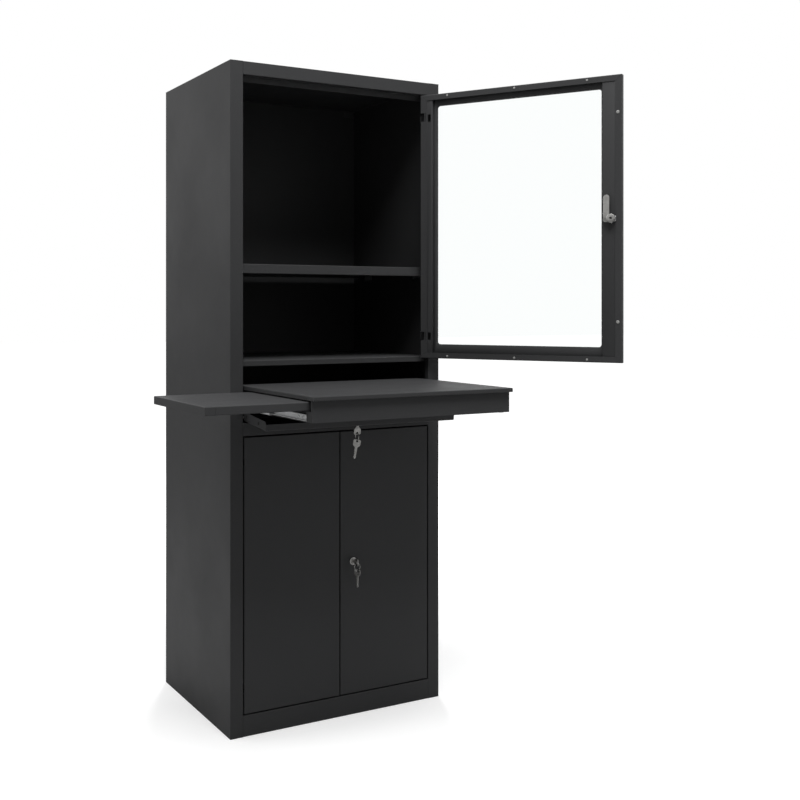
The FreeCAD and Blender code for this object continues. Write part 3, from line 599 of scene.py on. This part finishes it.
def makeUpperCam(name):
    # the arm stands to one side of the hub and leans a little towards the door
    form = upperCam
    hub, seat, gauge = form["hub"], form["seat"], form["gauge"]
    left, right, reach = form["left"], form["right"], form["reach"]
    cam = addBlock(name, (-hub, seat, -hub), (hub, seat + gauge, hub))
    editPiece(cam)
    pickFaces(cam, lambda middle, normal: normal.x > facing)
    extrudeFaces((right - hub, 0, 0))
    leaveEdit()
    near, far = form["bend"]
    arm = addBlock(name + "Arm", (left, seat, hub - form["lap"]),
                   (right, seat + gauge, reach - far))
    editPiece(arm)
    pickFaces(arm, lambda middle, normal: normal.z > facing)
    extrudeFaces((0, -form["crank"], far - near))
    extrudeFaces((0, 0, near))
    leaveEdit()
    cutAway(cam, arm, "UNION")
    roundCorners(cam, lambda a: a.z > reach - hair, (right - left) * form["toeRound"])
    roundCorners(cam, lambda a: a.x < -hub + hair, hub * form["heelRound"])
    roundCorners(cam, lambda a: a.x > right - hair and a.z < 0, hub * form["cornerRound"])
    softenEdges(cam, form["soft"], degrees=40)
    return cam


def makeHubCollar(name, seat):
    # round clamping nut with a blind hole, used in place of a cam screw
    form = hubCollar
    radius, hole, soft, holeSoft = form["radius"], form["hole"], form["soft"], form["holeSoft"]
    top = seat + form["height"]
    return turnProfile(name, [(hole, top - form["recess"]), (hole, top - holeSoft),
                              (hole + holeSoft, top), (radius - soft, top),
                              (radius - rimMiddle * soft, top - rimMiddle * soft),
                              (radius, top - soft), (radius, seat)])


def makeRotor(name, length, cam, seat, gauge):
    plug = makePlug(name, length)
    screw = makeCamScrew(name + "Screw", seat + gauge)
    return joinPieces([plug, cam, screw], name)


upperPlugLength = 0.026
collarSeat = upperCam["seat"] + upperCam["gauge"]
upperRotor = joinPieces([makePlug("upperPlug", upperPlugLength), makeUpperCam("upperCam"),
                         makeHubCollar("upperCollar", collarSeat)], "upperLockRotor")
movePiece(upperRotor, upperLockPlace)
# the rotor takes the dark nickel in place of zinc: painted shade, as the front lamp lights it directly
finishPiece(upperRotor, "upper_lock", "nickel", stands=("upper_lock_cam",))

# dark disc at the floor of the collar's blind hole, painted shade for the hole: radius, and height over the floor
# of the collar's recess
holeShadeSteps = ((0.0033, 0), (0.0033, 0.0005), (0.0029, 0.0009), (0.0012, 0.0006))
holeShadeFloor = collarSeat + hubCollar["height"] - hubCollar["recess"]
holeShadeProfile = [(radius, holeShadeFloor + rise) for radius, rise in holeShadeSteps]
socket = turnProfile("upperLockHoleShade", holeShadeProfile, sides=32)
movePiece(socket, upperLockPlace)
# the dark plastic finish paints the shade at the bottom of the collar's hole
finishPiece(socket, "upper_lock", "dark_plastic")

straightRotors = (
    # door, place, the plug's length, and the cam's seat, reach and gauge
    ("right", rightLockPlace, 0.0205, 0.0209, 0.058, 0.003),
    ("flap", flapLockPlace @ flapTurn, 0.023, 0.0234, 0.024, 0.0025),
)
for doorName, place, length, seat, reach, gauge in straightRotors:
    cam = makeStraightCam(doorName + "Cam", seat, reach, gauge)
    rotor = makeRotor(doorName + "LockRotor", length, cam, seat, gauge)
    movePiece(rotor, place)
    # the rotor takes the dark nickel in place of zinc: painted shade, as the front lamp lights it directly
    finishPiece(rotor, doorName + "_lock", "nickel", stands=(doorName + "_lock_cam",))
print("lock rotors made")

keyForm = {
    "half": 0.001,    # half of the thickness
    "bowHalf": 0.0101,
    "bowOuter": -0.0276,
    "shoulder": -0.0130,
    "neck": -0.0068,
    "bladeHalf": 0.0034,
    "cuts": (1.0, 0.72, 1.0, 0.62, 0.9, 0.66, 1.0, 0.78),
    "cutLength": 0.0024,
    "bladeStart": 0.0012,
    "tip": 0.0024,
    "tipWidth": 0.35,
    "hole": -0.0234,
    "holeRadius": 0.0031,
    "holeSides": 36,
    "bowRound": {"offset": 0.0042, "segments": 7},
    "shoulderRound": {"offset": 0.0032, "segments": 5},
    "panel": {"thickness": 0.0016, "depth": -0.00025},
    "grooveFloor": 0.00055,    # from the key's middle plane
    "grooveEnds": (-0.0058, 0.017),
    "grooveHeights": (-0.0011, 0.0003),
    "grooveShift": 0.0004,     # the two sides' grooves stand this much off the middle
    "soft": 0.0002,
}
ringForm = {"radius": 0.0088, "wire": 0.00052, "pitch": 0.00106, "drop": 0.0019, "hang": 0.0022,
            "steps": 112, "wireSides": 10}


def makeKey(name):
    form = keyForm
    half, bow, blade = form["half"], form["bowHalf"], form["bladeHalf"]
    key = addBlock(name, (-half, form["bowOuter"], -bow), (half, form["shoulder"], bow))
    editPiece(key)
    pickFaces(key, lambda middle, normal: normal.y > facing)
    extrudeFaces((0, form["neck"] - form["shoulder"], 0), (1, 1, blade / bow))
    extrudeFaces((0, form["bladeStart"] - form["neck"], 0))
    width = 1.0
    for cut in form["cuts"]:
        extrudeFaces((0, form["cutLength"] / 2, 0), (1, 1, cut / width))
        extrudeFaces((0, form["cutLength"] / 2, 0))
        width = cut
    extrudeFaces((0, form["tip"], 0), (1, 1, form["tipWidth"]))
    pickEdges(key, lambda a, b: sameLine(a, b, "yz") and a.y < form["bowOuter"] + hair)
    bpy.ops.mesh.bevel(affect="EDGES", **form["bowRound"])
    pickEdges(key, lambda a, b: sameLine(a, b, "yz") and abs(a.y - form["shoulder"]) < hair)
    bpy.ops.mesh.bevel(affect="EDGES", **form["shoulderRound"])
    pickFaces(key, lambda middle, normal: abs(normal.x) > facing and middle.y < form["shoulder"])
    bpy.ops.mesh.inset(**form["panel"])
    leaveEdit()
    clearSelection()
    bpy.ops.mesh.primitive_cylinder_add(vertices=form["holeSides"], radius=form["holeRadius"],
                                        depth=cutPast, location=(0, form["hole"], 0),
                                        rotation=(0, math.radians(90), 0))
    cutAway(key, nameNew("ringHole"))
    first, last = form["grooveEnds"]
    low, high = form["grooveHeights"]
    for side in (-1, 1):
        near, far = sorted((side * form["grooveFloor"], side * 2 * half))
        shift = side * form["grooveShift"]
        cutAway(key, addBlock("groove", (near, first, low + shift), (far, last, high + shift)))
    softenEdges(key, form["soft"])
    return key


def makeSplitRing(name):
    # two close turns of wire round the Y axis, hanging from the hole at the origin
    form = ringForm
    clearSelection()
    bpy.ops.mesh.primitive_circle_add(vertices=form["wireSides"], radius=form["wire"],
                                      location=(form["radius"], 0, 0))
    ring = nameNew(name)
    applyModifier(ring, "SCREW", axis="Y", angle=4 * math.pi, screw_offset=2 * form["pitch"],
                  steps=form["steps"], render_steps=form["steps"], use_merge_vertices=False)
    editPiece(ring)
    bpy.ops.mesh.select_all(action="SELECT")
    bpy.ops.mesh.fill_holes(sides=form["wireSides"])
    bpy.ops.mesh.select_all(action="SELECT")
    bpy.ops.mesh.normals_make_consistent(inside=False)
    leaveEdit()
    movePiece(ring, Matrix.Translation((0, -form["pitch"], -form["drop"] - form["radius"])))
    return ring


modelKey = makeKey("modelKey")
modelRing = makeSplitRing("modelRing")
spareDrop = ringForm["drop"] + 2 * ringForm["radius"] + ringForm["hang"]
keyPlaces = (
    # door, place, the lock's body, the ring's body, and in degrees the ring's turn about Z,
    # the spare key's own turn on it and the spare key's lean
    ("right", rightLockPlace, "right_lock", "right_spare", (0, 20, 0)),
    ("flap", flapLockPlace @ flapTurn, "flap_lock", "flap_spare", (90, -24, 9)),
)
for doorName, place, body, swing, (ringTurn, twist, lean) in keyPlaces:
    key = copyPiece(modelKey, doorName + "Key")
    movePiece(key, place)
    finishPiece(key, body, "nickel", stands=(doorName + "_lock_key",))
    hook = (Matrix.Translation(Vector(jointOf[swing + "_swing"]["pos_m"]))
            @ Matrix.Rotation(math.radians(ringTurn), 4, "Z"))
    ring = copyPiece(modelRing, doorName + "KeyRing")
    movePiece(ring, hook)
    finishPiece(ring, swing, "nickel", stands=(doorName + "_hanging_key",))
    spare = copyPiece(modelKey, doorName + "SpareKey")
    hang = (Matrix.Translation((0, 0, -spareDrop))
            @ Matrix.Rotation(math.radians(lean - 90), 4, "X")
            @ Matrix.Translation((0, -keyForm["hole"], 0)))
    movePiece(spare, hook @ Matrix.Rotation(math.radians(twist), 4, "Z") @ hang)
    finishPiece(spare, swing, "nickel")
for model in (modelKey, modelRing):
    bpy.data.objects.remove(model, do_unlink=True)
print("keys and rings made")


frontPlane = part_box("side_panel_left")[0].y
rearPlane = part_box("side_panel_left")[1].y
doorHinge = jointOf["upper_door_hinge"]
hingePoint = Matrix.Translation(Vector(doorHinge["pos_m"]))
doorSwing = (hingePoint @ Matrix.Rotation(math.radians(-doorHinge["range_deg"][0]), 4, "Z")
             @ hingePoint.inverted())

doorCover = {
    "low": 0.9756, "high": 1.7204,
    "plate": (0.0172, 0.0184),    # behind the door's face
    "gauge": 0.0012,
    "lockSide": (-0.2838, -0.2350),
    "lockFoot": 0.0090,
    "hingeSide": (0.2488, 0.2838),
    "hingeFoot": 0.0016,
    "armSlot": (0.2690, 0.2850, 0.0125),
    "armHeights": (1.037, 1.659),
    "window": (0.2540, 0.2632, 0.0105),
    "windowHeights": (1.037, 1.656),
    "lipStrip": (0.2654, 0.2703, 0.0199),
    "lipLap": 0.0002,
    "lockHole": 0.0093,
    "lockHoleSides": 40,
    "lockSpot": (-0.260, 1.349),
    "soft": 0.0004,
}


def makeCover(name, left, right, foot, wallAtLeft):
    # plate under the door's lip with one wall that goes down beside the window
    form = doorCover
    near, far = form["plate"]
    low, high = form["low"], form["high"]
    shift = form["gauge"] if wallAtLeft else -form["gauge"]
    cover = addBlock(name, (left, frontPlane + foot, low), (right, frontPlane + far, high))
    cutAway(cover, addBlock("hollow", (left + shift, frontPlane - cutPast, low - cutPast),
                            (right + shift, frontPlane + near, high + cutPast)))
    softenEdges(cover, form["soft"])
    return cover


plateNear, plateFar = (frontPlane + depth for depth in doorCover["plate"])
lockX, lockZ = doorCover["lockSpot"]
lockCover = makeCover("lockSideCover", *doorCover["lockSide"], doorCover["lockFoot"], False)
clearSelection()
bpy.ops.mesh.primitive_cylinder_add(vertices=doorCover["lockHoleSides"],
                                    radius=doorCover["lockHole"], depth=2 * cutPast,
                                    location=(lockX, plateNear, lockZ),
                                    rotation=(math.radians(90), 0, 0))
cutAway(lockCover, nameNew("barrelHole"))
hingeCover = makeCover("hingeSideCover", *doorCover["hingeSide"], doorCover["hingeFoot"], True)
stripLeft, stripRight, stripTop = doorCover["lipStrip"]
lipStrip = addBlock("lipStrip", (stripLeft, plateNear + doorCover["lipLap"], doorCover["low"]),
                    (stripRight, frontPlane + stripTop, doorCover["high"]))
cutAway(hingeCover, lipStrip, "UNION")
for slotName, heights in (("armSlot", "armHeights"), ("window", "windowHeights")):
    left, right, half = doorCover[slotName]
    for height in doorCover[heights]:
        cutAway(hingeCover, addBlock("slot", (left, plateNear - cutPast / 2, height - half),
                                     (right, plateFar + cutPast, height + half)))
for cover in (lockCover, hingeCover):
    movePiece(cover, doorSwing)
    finishPiece(cover, "upper_door", "anthracite", degrees=30)
print("door covers made")

glassBead = {"window": (-0.2295, 0.2385, 1.014, 1.690), "lap": 0.0002,
             "width": (0.0096, 0.0270),    # at the sides, at the two ends
             "depth": (0.0057, 0.0088), "throat": (-0.01, 0.03),
             "corner": 0.008, "soft": 0.0009}


def makeBead(name):
    # pressed strip all round the glass, with rounded corners towards the window
    form = glassBead
    left, right, low, high = form["window"]
    near, far = form["depth"]
    sides, ends = form["width"]
    first, last = form["throat"]
    lap = form["lap"]
    bead = addBlock(name, (left - sides, frontPlane + near, low - ends),
                    (right + sides, frontPlane + far, high + ends))
    throat = addBlock("throat", (left - lap, frontPlane + first, low - lap),
                      (right + lap, frontPlane + last, high + lap))
    roundCorners(throat, lambda a: True, form["corner"])
    cutAway(bead, throat)
    softenEdges(bead, form["soft"], degrees=50)
    return bead


bead = makeBead("glassBead")
movePiece(bead, doorSwing)
finishPiece(bead, "upper_door", "anthracite", degrees=40)
print("glass bead made")

bumper = {
    "side": (0.0045, 0.0016),    # radius and height
    "sidePlaces": ((-0.2755, 1.624), (-0.2755, 1.0805)),
    "end": (0.0030, 0.0010),
    "endX": (-0.1945, 0.0055, 0.203), "endZ": (0.981, 1.715),
    "lipFace": 0.020,
    # outward and up, in parts of the radius and of the height
    "dome": ((1, 0), (1, 0.25), (0.94, 0.55), (0.78, 0.85), (0.5, 1), (0.18, 1), (0.12, 0.86)),
}


def makeBumper(name, radius, height):
    # domed silicone pad with a small dimple from its mould
    return turnProfile(name, scaleSteps(bumper["dome"], radius, height), sides=32)


bumpers = []
places = [(x, z, bumper["side"]) for x, z in bumper["sidePlaces"]]
places += [(x, z, bumper["end"]) for x in bumper["endX"] for z in bumper["endZ"]]
for x, z, size in places:
    pad = makeBumper("bumper", *size)
    movePiece(pad, Matrix.Translation((x, frontPlane + bumper["lipFace"], z)))
    bumpers.append(pad)
bumpers = joinPieces(bumpers, "doorBumpers")
movePiece(bumpers, doorSwing)
finishPiece(bumpers, "upper_door", "pale_plastic", degrees=50, stands=("upper_buffers",))
print("bumpers made")

# black discs on the flap's side flanges are painted shade for the flanges' holes
flapHoleShade = {"radius": 0.0037, "height": 0.0008, "face": 0.2855,
            "fold": 96,    # degrees from shut to open
            "places": ((0.011, 0.0957), (0.013, 0.0195)),    # from the flap's face and pivot
            "dish": ((1, 0), (1, 0.5), (0.9, 1), (0.55, 1), (0.35, 0.5))}
flapPivot = Vector(jointOf["flap_hinge"]["pos_m"])
toPivot = Matrix.Translation(flapPivot)
flapFold = toPivot @ Matrix.Rotation(math.radians(flapHoleShade["fold"]), 4, "X") @ toPivot.inverted()


def makeFlapHoleShade(name):
    # black disc on the flap's side, with a dished face: painted shade standing for a hole in the flange
    profile = scaleSteps(flapHoleShade["dish"], flapHoleShade["radius"], flapHoleShade["height"])
    return turnProfile(name, profile, sides=28)


holeShadeDiscs = []
for side in (-1, 1):
    for depth, rise in flapHoleShade["places"]:
        plug = makeFlapHoleShade("flapHoleShade")
        seat = Vector((side * flapHoleShade["face"], frontPlane + depth, flapPivot.z + rise))
        outward = Matrix.Rotation(math.radians(-90 * side), 4, "Z")
        movePiece(plug, flapFold @ Matrix.Translation(seat) @ outward)
        holeShadeDiscs.append(plug)
# the black rubber finish paints the shade of the flanges' holes
finishPiece(joinPieces(holeShadeDiscs, "flapHoleShades"), "flap", "rubber", degrees=40)
print("flap plugs made")

panScrew = {"radius": 0.0036, "height": 0.0019, "slot": 0.0009, "slotReach": 0.0022,
            "slotDepth": 0.0011,
            "dome": ((1, 0), (1, 0.35), (0.92, 0.68), (0.72, 0.92), (0.4, 1))}
backScrews = {"x": 0.3125, "heights": (0.03, 0.15, 0.27, 0.33, 0.60, 0.87, 1.14, 1.41, 1.68),
              "roofX": (-0.2, 0.0, 0.2), "roofZ": 1.750, "turnStep": 37}


def makePanScrew(name):
    # pan head that faces +Y, with a cross recess
    form = panScrew
    profile = scaleSteps(form["dome"], form["radius"], form["height"])
    screw = turnProfile(name, profile, sides=28)
    cutCross(screw, form["slot"], form["slotReach"], form["height"] - form["slotDepth"])
    return screw


modelScrew = makePanScrew("modelScrew")
screwPlaces = [Vector((side * backScrews["x"], rearPlane, z)) for side in (-1, 1)
               for z in backScrews["heights"]]
screwPlaces += [Vector((x, rearPlane, backScrews["roofZ"])) for x in backScrews["roofX"]]
screws = []
for number, place in enumerate(screwPlaces):
    screw = copyPiece(modelScrew, "screw")
    turn = Matrix.Rotation(math.radians(backScrews["turnStep"] * number), 4, "Y")
    movePiece(screw, Matrix.Translation(place) @ turn)
    screws.append(screw)
finishPiece(joinPieces(screws, "backScrews"), "carcass", "zinc", degrees=40)

slideScrews = {"spots": (0.027, 0.0515, 0.2045, 0.3545), "web": 0.0012, "turnStep": 25}
railLow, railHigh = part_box("slide_inner_right")
for side, label in ((-1, "Left"), (1, "Right")):
    screws = []
    for number, spot in enumerate(slideScrews["spots"]):
        screw = copyPiece(modelScrew, "screw")
        place = Vector((side * (railLow.x + slideScrews["web"]), railLow.y + spot,
                        (railLow.z + railHigh.z) / 2))
        outward = Matrix.Rotation(math.radians(-90 * side), 4, "Z")
        turn = Matrix.Rotation(math.radians(slideScrews["turnStep"] * number), 4, "Y")
        movePiece(screw, Matrix.Translation(place) @ outward @ turn)
        screws.append(screw)
    finishPiece(joinPieces(screws, "slideScrews" + label), "drawer", "zinc", degrees=40)
bpy.data.objects.remove(modelScrew, do_unlink=True)
print("screws made")

louvre = {"length": 0.248, "below": 0.0035, "above": 0.0062, "rise": 0.0038, "gauge": 0.0007,
          "end": 0.007,        # how far each end slopes in
          "topPart": 0.4,      # the outer face's height in parts of the mouth's
          "soft": 0.0012, "first": 0.560, "pitch": 0.014, "rows": 9, "panelFace": 0.2410}


def makeLouvre(name):
    # pressed hood: its ends and top slope back to the panel, its mouth is open below
    form = louvre
    half = form["length"] / 2
    face = form["panelFace"]
    top = face + form["rise"]
    hood = addBlock(name, (-half, face, -form["below"]), (half, top, form["above"]))
    editPiece(hood)
    pickFaces(hood, lambda middle, normal: normal.y > facing)
    bpy.ops.transform.resize(value=((half - form["end"]) / half, 1, form["topPart"]),
                             center_override=(0, top, -form["below"]))
    pickEdges(hood, lambda a, b: min(a.y, b.y) > face + hair
              or abs(a.y - b.y) > hair)    # the top's rim and the sloping corners
    bpy.ops.mesh.bevel(offset=form["soft"], segments=3, affect="EDGES")
    pickFaces(hood, lambda middle, normal: normal.y < -facing or normal.z < -facing)
    bpy.ops.mesh.delete(type="FACE")
    leaveEdit()
    applyModifier(hood, "SOLIDIFY", thickness=form["gauge"], offset=-1)
    return hood


modelLouvre = makeLouvre("modelLouvre")
hoods = []
for row in range(louvre["rows"]):
    hood = copyPiece(modelLouvre, "hood")
    movePiece(hood, Matrix.Translation((0, 0, louvre["first"] + row * louvre["pitch"])))
    hoods.append(hood)
bpy.data.objects.remove(modelLouvre, do_unlink=True)
finishPiece(joinPieces(hoods, "louvreHoods"), "carcass", "anthracite", degrees=40)
print("louvre hoods made")

gusset = {"inner": 0.284, "outer": 0.3232, "front": 0.226, "back": 0.2393,
          "low": 1.738, "high": 1.7583, "gauge": 0.0015, "soft": 0.0004}


def makeGusset(name, side):
    # angle in a rear top corner, under the roof and against the back
    form = gusset
    left, right = sorted((side * form["inner"], side * form["outer"]))
    front, back, low, high = form["front"], form["back"], form["low"], form["high"]
    piece = addBlock(name, (left, front, low), (right, back, high))
    cutAway(piece, addBlock("inside", (left - cutPast, front - cutPast, low - cutPast),
                            (right + cutPast, back - form["gauge"], high - form["gauge"])))
    softenEdges(piece, form["soft"])
    return piece


gussets = [makeGusset("gusset", side) for side in (-1, 1)]
finishPiece(joinPieces(gussets, "roofGussets"), "carcass", "anthracite", degrees=30)
print("gussets made")


studio = {
    "floorSize": 60.0,
    "floorDrop": 0.0005,
    "floorTone": (0.62, 0.62, 0.62, 1),
    "glowNear": 0.45,      # the floor's own light near the object, where its shadow falls
    "glowFar": 1.0,
    "glowReach": (0.7, 2.6),
    "ambient": 0.16,
}
lamps = (
    # name, place, aim, size, power, and whether glossy pieces mirror it
    ("keyLamp", (-3.4, 1.5, 2.8), (-0.3, 0, 1.0), (2.2, 2.2), 45.0, True),
    ("frontLamp", (-0.5, -2.3, 4.4), (0, -0.3, 0.9), (2.4, 1.6), 180.0, True),
    ("topLamp", (-0.3, -0.6, 4.4), (0, -0.4, 0.9), (2.0, 2.0), 85.0, True),
    ("edgeLamp", (2.6, -1.7, 1.6), (0.5, -0.6, 1.3), (0.5, 1.6), 7.0, False),
    ("backLamp", (1.7, 3.5, 2.2), (0.1, 0.2, 0.9), (0.9, 0.8), 110.0, False),
)


def makeFloor(settings):
    clearSelection()
    bpy.ops.mesh.primitive_plane_add(size=settings["floorSize"],
                                     location=(0, 0, -settings["floorDrop"]))
    floor = bpy.context.object
    floor.name = "studioFloor"
    material, tree = newMaterial("studioFloorPaint")
    matt = addNode(tree, "ShaderNodeBsdfDiffuse", {"Color": settings["floorTone"]})
    glow = addNode(tree, "ShaderNodeEmission")
    place = addNode(tree, "ShaderNodeTexCoord")
    away = addNode(tree, "ShaderNodeVectorMath", operation="LENGTH")
    tree.links.new(place.outputs["Object"], away.inputs[0])
    near, far = settings["glowReach"]
    spread = addNode(tree, "ShaderNodeMapRange", {"From Min": near, "From Max": far,
                                                  "To Min": settings["glowNear"],
                                                  "To Max": settings["glowFar"]})
    tree.links.new(away.outputs["Value"], spread.inputs["Value"])
    tree.links.new(spread.outputs["Result"], glow.inputs["Strength"])
    both = addNode(tree, "ShaderNodeAddShader")
    tree.links.new(matt.outputs[0], both.inputs[0])
    tree.links.new(glow.outputs[0], both.inputs[1])
    rays = addNode(tree, "ShaderNodeLightPath")
    shown = addNode(tree, "ShaderNodeMath", operation="MAXIMUM")
    tree.links.new(rays.outputs["Is Camera Ray"], shown.inputs[0])
    tree.links.new(rays.outputs["Is Transmission Ray"], shown.inputs[1])
    mix = addNode(tree, "ShaderNodeMixShader")
    tree.links.new(shown.outputs[0], mix.inputs[0])
    tree.links.new(matt.outputs[0], mix.inputs[1])
    tree.links.new(both.outputs[0], mix.inputs[2])
    tree.links.new(mix.outputs[0], tree.nodes["Material Output"].inputs["Surface"])
    floor.data.materials.append(material)


def makeWorld(settings):
    world = bpy.data.worlds.new("studioWorld")
    world.use_nodes = True
    bpy.context.scene.world = world
    tree = world.node_tree
    tree.nodes.clear()
    output = addNode(tree, "ShaderNodeOutputWorld")
    white = addNode(tree, "ShaderNodeBackground", {"Color": (1, 1, 1, 1), "Strength": 1.0})
    soft = addNode(tree, "ShaderNodeBackground", {"Color": (1, 1, 1, 1),
                                                  "Strength": settings["ambient"]})
    rays = addNode(tree, "ShaderNodeLightPath")
    seen = addNode(tree, "ShaderNodeMath", operation="MAXIMUM")
    tree.links.new(rays.outputs["Is Camera Ray"], seen.inputs[0])
    tree.links.new(rays.outputs["Is Transmission Ray"], seen.inputs[1])
    seenAll = addNode(tree, "ShaderNodeMath", operation="MAXIMUM")
    tree.links.new(seen.outputs[0], seenAll.inputs[0])
    tree.links.new(rays.outputs["Is Glossy Ray"], seenAll.inputs[1])
    mix = addNode(tree, "ShaderNodeMixShader")
    tree.links.new(seenAll.outputs[0], mix.inputs[0])
    tree.links.new(soft.outputs[0], mix.inputs[1])
    tree.links.new(white.outputs[0], mix.inputs[2])
    tree.links.new(mix.outputs[0], output.inputs["Surface"])


def addLamp(name, place, target, size, power, mirrored):
    bpy.ops.object.light_add(type="AREA", location=place)
    lamp = bpy.context.object
    lamp.name = name
    lamp.visible_glossy = mirrored
    lamp.data.shape = "RECTANGLE"
    lamp.data.size = size[0]
    lamp.data.size_y = size[1]
    lamp.data.energy = power
    aim = Vector(target) - Vector(place)
    lamp.rotation_euler = aim.to_track_quat("-Z", "Y").to_euler()


makeFloor(studio)
makeWorld(studio)
for lampSettings in lamps:
    addLamp(*lampSettings)
bpy.context.scene.view_settings.view_transform = "Standard"
print("studio lit")
